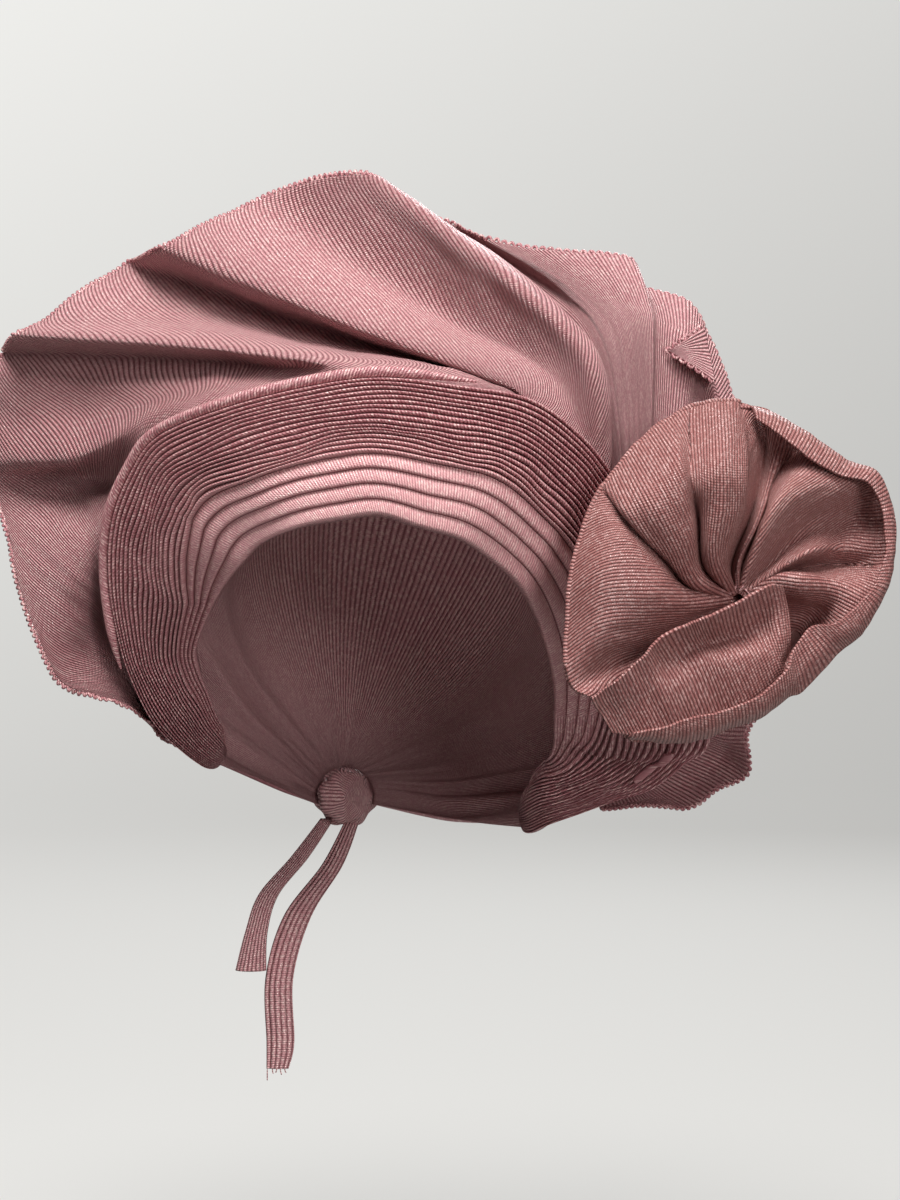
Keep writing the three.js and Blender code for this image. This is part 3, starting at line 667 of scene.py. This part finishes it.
def makePleatedFront():
    starts = pleatStarts()
    # the row where the ribs turn to run along the pleats is made twice, so no face is stretched there
    turn = round(front["steps"] * front["turnFrom"] / sectionCount)
    grid, paintedShades, paintedLights = [], [], []
    for i in [*range(turn + 1), *range(turn, front["steps"] + 1)]:
        s = i * sectionCount / front["steps"]
        shifted, dark, paintedLight = [], [], []
        pastBrow = max(s - front["evenFrom"], front["evenUntil"] - s)
        even = min(max(pastBrow / front["evenOver"], 0), 1)
        for k, start in enumerate(starts):
            start = mix(start, k / (len(starts) - 1), even)
            fade = math.sin(math.pi * min(max(start, 0), 1)) if 0 < k < len(starts) - 1 else 0
            wave = noise.noise(Vector((s * 0.7, k * 0.13, 3.1)))
            wave += 0.3 * noise.noise(Vector((s * 1.9, k * 0.3, 9.7)))
            wave += 0.09 * noise.noise(Vector((s * 0.8, k * 1.3, 17.0)))
            calm = 0.4 if k <= front["flatBands"] else 1
            shifted.append(start + wave * fade * front["wander"] / front["wide"] * calm)
        ring = []
        for k in range(len(starts) - 1):
            flat = k < front["flatBands"]
            wide = shifted[k + 1] - shifted[k]
            step = (front["flatStep"] if flat else front["fineStep"])
            step *= 1 + 0.3 * noise.noise(Vector((s * 0.6, k * 1.7, 21.0)))
            for t in front["flatCut" if flat else "fineCut"]:
                high = pleatHeight(t, 0.12 if flat else 0.35)
                low = front["flatValley"] if flat else front["valley"]
                ring.append(bandSurface(s, shifted[k] + t * wide, low + (step - low) * high))
                # painted shade in each fine pleat's valley under the next pleat, and in a thin line where each
                # flat band meets the one before
                dark.append(0 if k == 0 else max(0, 1 - t / 0.07) if flat else (1 - high) ** 1.5)
                # painted light on the brow bands, fading towards the outer edge and where the pleats grow even
                across = shifted[k] + t * wide
                paintedLight.append((1 - even) * min(1, max(0, (front["paintedLightUntil"] - across) / front["paintedLightFade"])))
        ring.append(bandSurface(s, 1, front["valley"]))
        for v in (1, 0.8, 0.6, 0.4, 0.2, 0):
            ring.append(bandSurface(s, v, -front["wall"]))
        ring.append(ring[0].copy())
        fromEnd = min(i, front["steps"] - i) / front["roundEnd"]
        if fromEnd < 1:
            heart = sum(ring, Vector()) / len(ring)
            full = math.sqrt(1 - (1 - fromEnd) ** 2)
            ring = [mix(heart, point, 0.05 + 0.95 * full) for point in ring]
        grid.append(ring)
        paintedShades.append(dark + [0] * (len(ring) - len(dark)))
        paintedLights.append(paintedLight + [0] * (len(ring) - len(paintedLight)))
    middle = len(grid[0]) // 3
    run = lengthsAcross(grid, middle)
    places = []
    for i, ring in enumerate(grid):
        widths = lengthsAlong(ring)
        if i > turn:
            places.append([(width, run[i]) for width in widths])
        else:
            places.append([(run[i] + 0.3 * width, width) for width in widths])
    piece = clothObject("pleated_front_cloth", grid, places, "pleat", weld=True, paintedShades=paintedShades, paintedLights=paintedLights)
    bm = bmesh.new()
    bm.from_mesh(piece.data)
    bmesh.ops.holes_fill(bm, edges=[edge for edge in bm.edges if edge.is_boundary], sides=0)
    bmesh.ops.recalc_face_normals(bm, faces=bm.faces)
    bm.to_mesh(piece.data)
    bm.free()
    tell(piece, ["pleated_front"])
    makeStrap()
    print("pleated front made")


makePleatedFront()


# rolled outermost pleat
outerRoll = {"radius": 0.0021, "first": 3.3, "last": 12.2, "steps": 330, "turn": 0.86, "sides": 16,
             "wall": 0.0006}


def makeOuterRoll():
    grid = []
    steps = outerRoll["steps"]
    for i in range(steps + 1):
        s = outerRoll["first"] + (outerRoll["last"] - outerRoll["first"]) * i / steps
        out = (bandPoint(s, 1) - bandPoint(s, 0)).normalized()
        normal = bandNormal(s, 1)
        fat = outerRoll["radius"] * min(1, 0.1 + 3 * math.sin(math.pi * i / steps))
        fat *= 1 + 0.12 * noise.noise(Vector((s * 1.1, 0.5, 4.0)))
        centre = bandSurface(s, 1, 0) + out * (outerRoll["radius"] + gap)
        ring = []
        for k in range(outerRoll["sides"] + 1):
            angle = -math.pi / 2 - outerRoll["turn"] * math.pi * (1 - 2 * k / outerRoll["sides"]) + math.pi
            ring.append(centre + out * (fat * math.cos(angle)) + normal * (fat * math.sin(angle)))
        grid.append(ring)
    run = lengthsAcross(grid, outerRoll["sides"] // 2)
    places = [[(run[i] + 0.55 * width, width) for width in lengthsAlong(ring)] for i, ring in enumerate(grid)]
    piece = clothObject("outer_pleat_roll", grid, places, "pleat", wall=outerRoll["wall"])
    settle(piece, ["outer_pleat"], grid)


makeOuterRoll()
print("outer pleat made")


# fan
fan = {"reach": 0.200, "wall": 0.0012, "seatDepth": 0.0015, "backSeatDepth": 0.00075, "seatShare": 0.96,
       "crease": (0.0011, 0.022, 0.09)}

# band section of the seat, then three points along the fold in thousandths of the reach
frontFolds = parts(1000, 1, [
    (1.5, -4, 50, -10, 12, 60, -16, 40, 75, -22),
    (1.9, -10, 70, -10, 0, 66, -22, 18, 55, -32),
    (2.7, -13, 90, 0, -16, 78, -22, -16, 38, -36),
    (3.4, -30, 115, 6, -43, 72, -32, -69, 24, -68),
    (4.1, -37, 99, 20, -79, 49, -36, -129, 9, -104),
    (4.6, -29, 54, 26, -84, 24, -30, -167, 14, -72),
    (5.1, -23, 40, 19, -96, 20, -13, -208, 60, -28),
    (5.6, -25, 45, 22, -121, 65, 6, -240, 115, 8),
    (6.1, -37, 90, 32, -143, 160, 42, -289, 190, 36),
    (6.6, -61, 145, 25, -169, 195, 39, -325, 205, 32),
    (7.3, -36, 60, 39, -167, 110, 3, -363, 215, 15),
    (8.0, -7, 55, 58, -182, 170, 58, -405, 255, 64),
    (9.0, -22, 110, 51, -280, 250, 74, -547, 320, 104),
    (9.8, -43, 154, 61, -321, 284, 103, -662, 374, 124),
    (10.6, -40, 55, 37, -373, 185, 92, -745, 285, 128),
    (11.3, -32, 70, 35, -397, 220, 116, -806, 340, 167),
    (12.2, -52, 96, 42, -428, 256, 136, -851, 386, 274),
    (12.8, -34, 117, 26, -432, 287, 176, -867, 397, 336),
    (13.3, -99, 50, 58, -443, 118, 195, -836, 228, 373),
    (13.8, -89, 45, 109, -388, 155, 267, -788, 275, 481),
    (14.2, -76, 56, 146, -347, 200, 319, -717, 316, 572),
    (14.6, -63, 20, 185, -286, 105, 395, -615, 255, 637),
    (14.9, -40, -20, 209, -210, 10, 403, -523, 180, 663),
    (15.1, -29, 10, 235, -178, 69, 431, -505, 209, 677),
    (15.2, -44, 32, 244, -208, 112, 437, -498, 252, 665),
])
backFolds = parts(1000, 1, [
    (15.1, -75, 90, 250, -240, 200, 440, -500, 330, 672),
    (15.4, -85, 87, 278, -229, 197, 451, -490, 327, 672),
    (15.5, -68, 89, 336, -176, 209, 491, -408, 309, 662),
    (15.6, -45, 61, 352, -135, 141, 498, -294, 221, 616),
    (15.8, -32, 35, 391, -86, 95, 507, -181, 165, 620),
    (16.0, -8, 20, 423, -16, 70, 529, -45, 150, 634),
    (16.1, -3, 28, 431, 0, 92, 526, -21, 182, 595),
    (16.3, 17, 23, 453, 29, 77, 527, 28, 157, 603),
    (16.5, 38, 18, 465, 51, 62, 538, 63, 133, 603),
    (16.7, 45, 18, 440, 70, 38, 490, 90, 88, 530),
    (16.9, 55, 3, 400, 85, 13, 440, 108, 53, 470),
])
# painted shade on each fold's cloth, one share per fold
frontShade = [0.5, 0.5, 0.45, 0.35, 0.42, 0.45, 0.35, 0.25, 0.35, 0.45, 0.48, 0.45, 0.38, 0.3, 0.1, 0.03, 0.02,
              0.15, 0.3, 0.03, 0.15, 0.45, 0.35, 0.05, 0.5]
backShade = [0.7, 0.6, 0.3, 0, 0, 0, 0.15, 0, 0, 0.1, 0.2]


def foldRows(folds, reach, depth):
    rows = []
    for fold in folds:
        edge = through(outerEdge, fold[0] / sectionCount)
        seat = bandSurface(fold[0], fan["seatShare"], -front["wall"] - gap - depth)
        rows.append([seat] + [edge + Vector(fold[k:k + 3]) * reach for k in range(1, len(fold), 3)])
    return rows


def makeFan(name, node, folds, shades, across, along, depth, lay, pitch, seed):
    grid = patchGrid(foldRows(folds, fan["reach"], depth), across, along)
    places = ribMap(grid, lay)
    grid = wrinkled(grid, places, fan["crease"], seed)
    # painted shade on each fold, 0.4 at the seat and the fold's own share further out
    dark = [max(through(shades, i / across), 0) for i in range(across + 1)]
    paintedShades = [[mix(0.4, value, min(1, 5 * j / along)) for j in range(along + 1)] for value in dark]
    piece = clothObject(name, grid, places, "ribbed", wall=fan["wall"], paintedShades=paintedShades)
    loops = picotEdge(name + "_picots", grid, pitch)
    settle(piece, [node], grid, [loops])


makeFan("fan_front_cloth", "fan_front", frontFolds, frontShade, 430, 100, fan["seatDepth"], "fan",
        picots["pitch"], 1.0)
makeFan("fan_back_cloth", "fan_back", backFolds, backShade, 170, 80, fan["backSeatDepth"], "rim",
        picots["backPitch"], 5.0)
print("fans made")


# small cords, and the turned corner of the back cloth
def smallCord(name, path, radius, cloth, sides=8):
    rings = []
    for k, point in enumerate(path):
        run = (path[min(k + 1, len(path) - 1)] - path[max(k - 1, 0)]).normalized()
        side = run.cross(Vector((0.3, 1, 0.2))).normalized()
        up = side.cross(run)
        thin = radius * (0.02 if k in (0, len(path) - 1) else 1)
        turns = [2 * math.pi * (n % sides) / sides for n in range(sides + 1)]
        rings.append([point + (side * math.cos(turn) + up * math.sin(turn)) * thin for turn in turns])
    places = [[(length, 0.0005 * n) for n in range(sides + 1)] for length in lengthsAlong(path)]
    piece = clothObject(name, rings, places, cloth, weld=True)
    tell(piece)
    return piece


cornerFlap = {"section": 16.7, "wall": 0.0010, "bow": 0.012, "tip": (-0.031, -0.030, 0.530),
              "edge": [(0.054, 0.045, 0.592), (0.066, 0.035, 0.530), (0.072, -0.005, 0.466)]}


def makeCornerFlap():
    origin = through(outerEdge, cornerFlap["section"] / sectionCount)
    tip = Vector(cornerFlap["tip"])
    rows = []
    for place in cornerFlap["edge"]:
        start = Vector(place)
        middle = mix(start, tip, 0.5) + Vector((0, -cornerFlap["bow"], 0))
        rows.append([origin + point * fan["reach"] for point in (start, middle, tip)])
    grid = patchGrid(rows, 30, 30)
    piece = clothObject("fan_back_corner_cloth", grid, ribMap(grid, "root"), "ribbed",
                        wall=cornerFlap["wall"], weld=True)
    # the loops run down one edge to the tip and back up the other
    inner, edge = grid[1] + grid[-2][-2::-1], grid[0] + grid[-1][-2::-1]
    loops = picotEdge("fan_back_corner_picots", list(zip(inner, edge)), picots["backPitch"])
    settle(piece, [], grid, [loops])


makeCornerFlap()
print("turned corner made")


# crown cloth over the head
crown = {"halfWide": 0.077, "halfDeep": 0.093, "rise": 0.106, "setBack": 0.006, "wall": 0.0016,
         "napeSide": -0.020, "napeBehind": 0.092, "napeDrop": 0.166, "knotRadius": 0.013, "knotDeep": 0.022,
         "folds": 9, "foldHeight": 0.003, "crease": (0.0008, 0.03, 0.08), "seatShare": 0.8, "seats": 36,
         "across": 216, "along": 44}
headCentre = Vector((0, crown["setBack"], -crown["rise"]))
nape = Vector((crown["napeSide"], crown["napeBehind"], -crown["napeDrop"]))


def outOfHead(point, clear):
    away = point - headCentre
    share = math.hypot(away.x / (crown["halfWide"] + clear), away.y / (crown["halfDeep"] + clear),
                       away.z / (crown["rise"] + clear))
    return headCentre + away / share if share < 1 else point


def tautPath(start, end, count=12):
    path = [outOfHead(mix(start, end, k / count), 0.001) for k in range(count + 1)]
    path[0], path[count] = start, end
    for _ in range(160):
        for k in range(1, count):
            path[k] = outOfHead((path[k - 1] + path[k + 1]) / 2, 0.001)
    return path


def makeCrown():
    radius = crown["knotRadius"] + gap + 0.0008
    paths = []
    for i in range(crown["seats"] + 1):
        s = i * sectionCount / crown["seats"]
        angle = math.pi * (1.1 - 1.2 * i / crown["seats"])
        start = bandSurface(s, crown["seatShare"], -front["wall"] - gap - 0.001)
        end = nape + Vector((math.cos(angle), 0, math.sin(angle))) * radius
        paths.append(tautPath(start, end))
    grid = patchGrid(paths, crown["across"], crown["along"])
    for i, row in enumerate(grid):
        for j, point in enumerate(row):
            turn = 2 * math.pi * crown["folds"] * i / crown["across"]
            shape = (0.5 - 0.5 * math.cos(turn)) ** 0.8
            fade = math.sin(math.pi * j / crown["along"]) ** 2
            row[j] = point + (point - headCentre).normalized() * (crown["foldHeight"] * shape * fade)
    places = ribMap(grid, "root")
    grid = wrinkled(grid, places, crown["crease"], 12.0)
    piece = clothObject("crown_cap_cloth", grid, places, "ribbed", wall=crown["wall"])
    settle(piece, ["crown_cap"], grid)


makeCrown()


# flap behind the low right pleats, with painted shade all over it
sideTail = {"reach": 0.050, "wall": 0.0012, "crease": (0.0007, 0.015, 0.04), "dark": 0.45}
tailFolds = parts(100, 1, [
    (17.6, 7, 23, -12, 42, 11, -22),
    (18.0, 9, 16, -3, 29, 4, -3),
    (18.6, 22, 18, -4, 42, -3, -15),
    (19.3, 21, 19, -8, 36, 1, -16),
    (20.0, 13, 22, -7, 31, 4, -17),
    (20.7, 5, 20, -7, 11, 12, -10),
    (21.5, 0, 21, -4, 2, 17, -5),
])


def makeSideTail():
    grid = patchGrid(foldRows(tailFolds, sideTail["reach"], fan["seatDepth"]), 110, 40)
    places = ribMap(grid, "rim")
    grid = wrinkled(grid, places, sideTail["crease"], 31.0)
    # painted shade laid evenly over the whole flap
    paintedShades = [[sideTail["dark"]] * len(row) for row in grid]
    piece = clothObject("side_tail_cloth", grid, places, "ribbed", wall=sideTail["wall"], paintedShades=paintedShades)
    loops = picotEdge("side_tail_picots", grid, picots["pitch"])
    settle(piece, ["side_tail"], grid, [loops])


makeSideTail()
print("crown cloth and side tail made")


# rosette
rosette = {"section": 16.6, "offset": (0.27, -0.355, -0.08), "reach": 0.078, "slant": 0.25, "wall": 0.0013,
           "gatherWide": 0.0075, "crease": (0.0009, 0.012, 0.05), "faceCrease": (0.0009, 0.01, 0.03),
           "bendOver": 0.4, "bendForward": 0.75, "floor": 0.28,
           "floorShare": 0.55, "wallShare": 0.85, "stitchWide": 0.03, "stitchDeep": -0.17,
           "steps": 9, "lipFolds": (5, 17), "lipThick": 0.0013, "stitchLong": 0.0022, "stitchThick": 0.00035,
           "stitchRise": 0.0006}
# across, up and turn of each stitch in the middle
stitches = [(-0.05, 0.03, 0.4), (-0.02, 0.05, 1.2), (0.02, 0.06, 0.9), (0.05, 0.04, 2.3)]
rosetteCentre = bandSurface(rosette["section"], 1, 0) + Vector(rosette["offset"]) * rosette["reach"]

# folds round the gather, four points each from the inside outwards, in hundredths of the rosette's reach
spokes = parts(100, 0, [
    (16, -3, -7, 34, 3, -16, 40, 3, -24, 34, -28, -37),
    (3, -8, -13, 4, -6, -28, 5, -10, -42, 5, -28, -53),
    (-11, -12, -14, -23, -10, -33, -38, -16, -49, -54, -28, -63),
    (-20, -17, -12, -43, -24, -27, -65, -28, -44, -81, -30, -52),
    (-25, -17, -10, -48, -20, -23, -69, -24, -34, -90, -25, -48),
    (-27, -23, -7, -50, -34, -13, -74, -33, -23, -94, -24, -38),
    (-27, -26, -3, -50, -40, -3, -76, -38, -5, -94, -22, -18),
    (-28, -27, 1, -50, -42, 7, -74, -40, 15, -91, -21, 15),
    (-29, -25, 5, -47, -38, 17, -66, -38, 32, -82, -18, 45),
    (-26, -16, 5, -40, -27, 19, -58, -33, 37, -75, -17, 59),
    (-25, -27, 7, -42, -37, 23, -62, -40, 44, -72, -17, 62),
    (-23, -29, 11, -35, -44, 33, -48, -46, 57, -58, -16, 80),
    (-22, -27, 15, -29, -42, 41, -36, -46, 70, -38, -12, 97),
    (-19, -18, 17, -23, -29, 42, -29, -42, 65, -26, -9, 104),
    (-18, -33, 18, -21, -42, 44, -24, -46, 68, -19, -7, 106),
    (-14, -37, 23, -13, -49, 49, -13, -48, 76, -9, -5, 108),
    (-8, -31, 22, -2, -43, 47, 0, -42, 72, 0, -4, 108),
    (-5, -16, 20, 4, -20, 49, 6, -20, 75, 5, -4, 107),
    (-2, -11, 19, 9, -7, 46, 17, 0, 79, 16, -8, 103),
    (0, -21, 21, 10, -22, 41, 20, -5, 66, 28, -11, 96),
    (4, -12, 20, 15, -12, 44, 25, -3, 69, 40, -14, 89),
    (6, -23, 21, 17, -31, 49, 30, -22, 67, 50, -18, 82),
    (11, -23, 23, 25, -32, 50, 41, -30, 66, 61, -20, 76),
    (14, -18, 20, 33, -22, 43, 60, -27, 60, 74, -22, 69),
    (16, -15, 17, 39, -13, 35, 66, -11, 48, 84, -24, 58),
    (17, -20, 15, 39, -23, 28, 62, -11, 36, 88, -26, 43),
    (18, -22, 13, 37, -27, 24, 59, -15, 28, 88, -27, 29),
    (18, -13, 11, 37, -7, 17, 63, -7, 19, 84, -29, 17),
    (19, -22, 12, 34, -27, 13, 55, -23, 10, 77, -30, 5),
    (19, -20, 5, 34, -25, 4, 52, -23, 2, 68, -31, -6),
    (19, -9, -1, 37, -9, -4, 48, -10, -8, 57, -31, -19),
])
# valleys where the folds meet, and the ridge that each fold's ribs follow
foldValleys = [0, 9, 13, 18, 20, 27, 31]
foldRidges = [6, 11, 15, 19, 23, 29]
flapRows = parts(100, 0, [
    (-82, -40, -52, -80, -38, -56, -77, -36, -60, -71, -34, -70),
    (-69, -47, -42, -65, -43, -50, -61, -40, -57, -53, -37, -72),
    (-58, -50, -32, -53, -46, -42, -48, -43, -52, -39, -38, -70),
    (-48, -51, -22, -41, -41, -32, -33, -43, -45, -23, -38, -67),
    (-34, -51, -14, -28, -36, -24, -22, -43, -36, -11, -38, -63),
    (-23, -51, -10, -16, -34, -22, -10, -45, -33, 2, -39, -59),
    (-7, -50, -3, -1, -33, -18, 5, -43, -30, 15, -38, -52),
    (4, -48, 3, 11, -33, -12, 15, -40, -27, 22, -37, -44),
    (15, -45, 8, 19, -37, -6, 21, -38, -22, 22, -35, -35),
    (21, -40, 7, 25, -33, -6, 26, -34, -19, 25, -32, -30),
])

# outline from the low left tip round the right to the top, and its turned-in edge
rimRows = parts(100, 0, [
    (-62, -35, -73, -60, -42, -70),
    (-49, -33, -75, -48, -47, -68),
    (-28, -35, -75, -29, -51, -62),
    (-8, -36, -69, -10, -52, -58),
    (11, -37, -62, 8, -52, -50),
    (25, -39, -52, 22, -51, -37),
    (33, -39, -49, 26, -49, -28),
    (51, -39, -30, 36, -48, -15),
    (61, -37, -23, 49, -48, -13),
    (69, -37, -15, 62, -45, -4),
    (82, -35, 8, 74, -40, 9),
    (86, -32, 26, 80, -37, 25),
    (86, -31, 37, 80, -35, 37),
    (84, -29, 53, 78, -34, 51),
    (77, -28, 69, 70, -35, 63),
    (61, -25, 75, 55, -33, 67),
    (45, -21, 86, 38, -31, 76),
    (25, -13, 99, 21, -24, 90),
    (9, -10, 105, 10, -18, 98),
])


def rosettePoint(x, y, z):
    return rosetteCentre + Vector((x, y + rosette["slant"] * x, z)) * rosette["reach"]


def gatherPoint(x, z):
    radius = (rosette["gatherWide"] + 2 * gap) / rosette["reach"] / math.hypot(x, z)
    return rosettePoint(x * radius, 0, z * radius)


petalNodes = ["rosette_petal_left", "rosette_petal_upper", "rosette_petal_centre", "rosette_fold_inner",
              "rosette_fold_outer", "rosette_cup", "rosette_petal_right"]


def rosetteCalm(i, j, along):
    # creases fade where folds are sewn together, so that the seams stay closed
    steps = rosette["steps"]
    near = min(abs(i - (valley * steps + k)) for k, valley in enumerate(foldValleys))
    return min(1, near / steps) * min(1, 3 * j / along)


def rosetteCloth(name, rows, across, along, seed, loop=False):
    grid = patchGrid(rows, across, along, loop)
    places = ribMap(grid, "rim")
    grid = wrinkled(grid, places, rosette["crease"], seed, loop)
    piece = clothObject(name + "_cloth", grid, places, "plain", wall=rosette["wall"], weld=loop)
    settle(piece, [name], grid)


def makeStitches():
    # short threads that hold the gathers in the rosette's middle
    made = []
    for k, (x, z, turn) in enumerate(stitches):
        middle = rosettePoint(x, rosette["stitchDeep"] - 0.015, z)
        half = Vector((math.cos(turn), 0, math.sin(turn))) * rosette["stitchLong"]
        path = []
        for n in range(7):
            rise = Vector((0, -rosette["stitchRise"] * math.sin(math.pi * n / 6), 0))
            path.append(mix(middle - half, middle + half, n / 6) + rise)
        name = "rosette_stitch_" + str(k + 1)
        made.append(smallCord(name, path, rosette["stitchThick"], "stitch"))
    return made


def makeRosetteFace():
    steps, along = rosette["steps"], 70
    rows = []
    for row in spokes + [spokes[0]]:
        inner = math.hypot(row[0], row[2]) / rosette["stitchWide"]
        start = rosettePoint(row[0] / inner, rosette["stitchDeep"], row[2] / inner)
        rows.append([start] + [rosettePoint(*row[k:k + 3]) for k in (0, 3, 6, 9)])
    smooth = patchGrid(rows, steps * len(spokes), along)
    across = [lengthsAcross(smooth, j) for j in range(along + 1)]
    grid, places = [], []
    for first, last, ridge in zip(foldValleys, foldValleys[1:], foldRidges):
        for i in range(first * steps, last * steps + 1):
            out = lengthsAlong(smooth[i])
            grid.append(smooth[i])
            middle = ridge * steps
            places.append([(across[j][i] - across[j][middle] + first, out[j]) for j in range(along + 1)])
    creased = wrinkled(grid, places, rosette["faceCrease"], 40.0)
    for i, row in enumerate(creased):
        for j, point in enumerate(row):
            row[j] = mix(grid[i][j], point, rosetteCalm(i, j, along))
    piece = clothObject("rosette_face_cloth", creased, places, "plain", wall=rosette["wall"], weld=True)
    first, last = (place * steps + 1 for place in rosette["lipFolds"])
    rim = [row[-1] for row in creased[first:last]]
    lip = smallCord("rosette_lip", rim, rosette["lipThick"], "plain")
    settle(piece, petalNodes, creased, [lip, *makeStitches()])


def makeRosetteFlap():
    rows = [[rosettePoint(*row[k:k + 3]) for k in (0, 3, 6, 9)] for row in flapRows]
    rosetteCloth("rosette_flap", rows, 90, 40, 50.0)


def makeRosetteRim():
    over, forward = rosette["bendOver"], rosette["bendForward"]
    rows = []
    for x, y, z, inX, inY, inZ in rimRows:
        middle = rosettePoint(mix(x, inX, over), mix(y, inY, forward), mix(z, inZ, over))
        rows.append([rosettePoint(x, y, z), middle, rosettePoint(inX, inY, inZ)])
    rosetteCloth("rosette_rim", rows, 240, 16, 52.0)


def makeRosetteBack():
    # a bowl that meets the rim's outline and the outer ends of the folds on the left
    seam = (gap + 0.0016) / rosette["reach"]
    floorShare, wallShare, floor = rosette["floorShare"], rosette["wallShare"], rosette["floor"]
    outline = [row[:3] for row in rimRows] + [row[9:] for row in reversed(spokes[3:13])]
    rows = []
    for x, y, z in outline:
        y += seam
        rows.append([gatherPoint(x, z), rosettePoint(floorShare * x, floor, floorShare * z),
                     rosettePoint(wallShare * x, mix(floor, y, 0.4), wallShare * z), rosettePoint(x, y, z)])
    rosetteCloth("rosette_back", rows, 260, 44, 54.0, loop=True)


makeRosetteFace()
makeRosetteFlap()
makeRosetteRim()
makeRosetteBack()
print("rosette made")


# gathered knots
# share of the depth and of the radius, with two points that swell behind the cloth that the knot closes
knotProfile = [(0, 0.02), (0.01, 0.5), (0.12, 0.9), (0.3, 1), (0.55, 1), (0.68, 1), (0.88, 1), (0.99, 0.45),
               (1, 0.02)]
knotSwell = (5, 6)


def makeKnot(name, node, centre, radius, back, front, slot, puckers, depth, flare):
    profile = [Vector((share, width * (flare if k in knotSwell else 1), 0))
               for k, (share, width) in enumerate(knotProfile)]
    sides, steps = 72, 30
    grid = []
    for i in range(sides + 1):
        angle = 2 * math.pi * (i % sides) / sides
        row = []
        for j in range(steps + 1):
            place = through(profile, j / steps)
            ripple = 1 + depth * math.sin(puckers * angle + 4 * place.x) * min(1, 2 * place.y)
            wide = radius * place.y * ripple
            deep = mix(back, front, place.x)
            row.append(centre + Vector((wide * math.cos(angle), deep, wide * math.sin(angle))))
        grid.append(row)
    cloth = "plain" if slot == "plain_cloth" else "ribbed"
    piece = clothObject(name, grid, ribMap(grid, "parallel"), cloth, weld=True)
    tell(piece, [node])


makeKnot("rosette_knot_cloth", "rosette_knot", rosetteCentre, rosette["gatherWide"] * 0.97,
         0.05 * rosette["reach"], -0.11 * rosette["reach"], "plain_cloth", 9, 0.07, 1)
makeKnot("nape_knot_cloth", "nape_knot", nape, crown["knotRadius"] * 0.97, -crown["knotDeep"] / 2,
         crown["knotDeep"] / 2, "ribbed_cloth", 7, 0.06, 1.18)
print("knots made")


# ties
ties = {"longDrop": 0.127, "shortDrop": 0.082, "wide": 0.013, "wall": 0.0011, "shortWall": 0.0008,
        "hemPlace": 5, "across": 24, "threadThick": 0.0003}
# share across the long tie's end, length and sway of each loose thread
tieThreads = [(0.06, 0.006, 0), (0.3, 0.0025, 0.0004), (0.46, 0.002, -0.0005), (0.62, 0.003, 0.0006),
              (0.8, 0.0022, 0.0008)]
knotBottom = nape.z - crown["knotRadius"] - gap


def makeShortTie():
    drop = ties["shortDrop"]
    rings = [
        (-0.009, 0.004, 0.0015, 0.006, 0.004),
        (-0.022, -0.006, -0.2 * drop, 0.008, 0.005),
        (-0.036, -0.020, -0.4 * drop, 0.009, 0.006),
        (-0.041, -0.030, -0.6 * drop, 0.010, 0.007),
        (-0.0435, -0.032, -0.82 * drop, 0.014, 0.009),
    ]
    rows = []
    for k in range(24):
        angle = 2 * math.pi * k / 24
        rows.append([Vector((nape.x + x + wide / 2 * math.cos(angle), nape.y + y + deep / 2 * math.sin(angle),
                             knotBottom + z)) for x, y, z, wide, deep in rings])
    grid = patchGrid(rows, 48, 50, loop=True)
    piece = clothObject("short_tie_cloth", grid, ribMap(grid, "rim"), "ribbed",
                        wall=ties["shortWall"], weld=True)
    settle(piece, ["tie_short"], grid)


def makeLongTie():
    drop, wide = ties["longDrop"], ties["wide"]
    rows = [
        (0.003, 0.004, -0.0004, 0.007, 0.001),
        (-0.006, -0.008, -0.16 * drop, 0.010, 0.002),
        (-0.022, -0.024, -0.34 * drop, wide, 0.0025),
        (-0.030, -0.032, -0.56 * drop, wide, 0.002),
        (-0.0295, -0.032, -0.8 * drop, wide, 0.002),
        (-0.0308, -0.032, -0.9 * drop, 0.8 * wide, 0.001),
    ]
    edges = [[Vector((nape.x + x + way * w / 2, nape.y + y + (0 if way == 0 else dent), knotBottom + z))
              for x, y, z, w, dent in rows] for way in (-1, 0, 1)]
    grid = patchGrid(edges, ties["across"], 100)
    # a painted shade line along the hem
    paintedShades = [[0.8 if i == ties["hemPlace"] else 0] * len(row) for i, row in enumerate(grid)]
    piece = clothObject("long_tie_cloth", grid, ribMap(grid, "rim"), "ribbed", wall=ties["wall"],
                        paintedShades=paintedShades)
    threads = []
    for k, (share, long, sway) in enumerate(tieThreads):
        top = grid[round(share * ties["across"])][-1]
        path = [top + Vector((sway * (n / 8) ** 2, 0, -long * n / 8)) for n in range(9)]
        name = "long_tie_thread_" + str(k + 1)
        threads.append(smallCord(name, path, ties["threadThick"], "pleat", 6))
    settle(piece, ["tie_long"], grid, threads)


makeShortTie()
makeLongTie()
print("ties made")
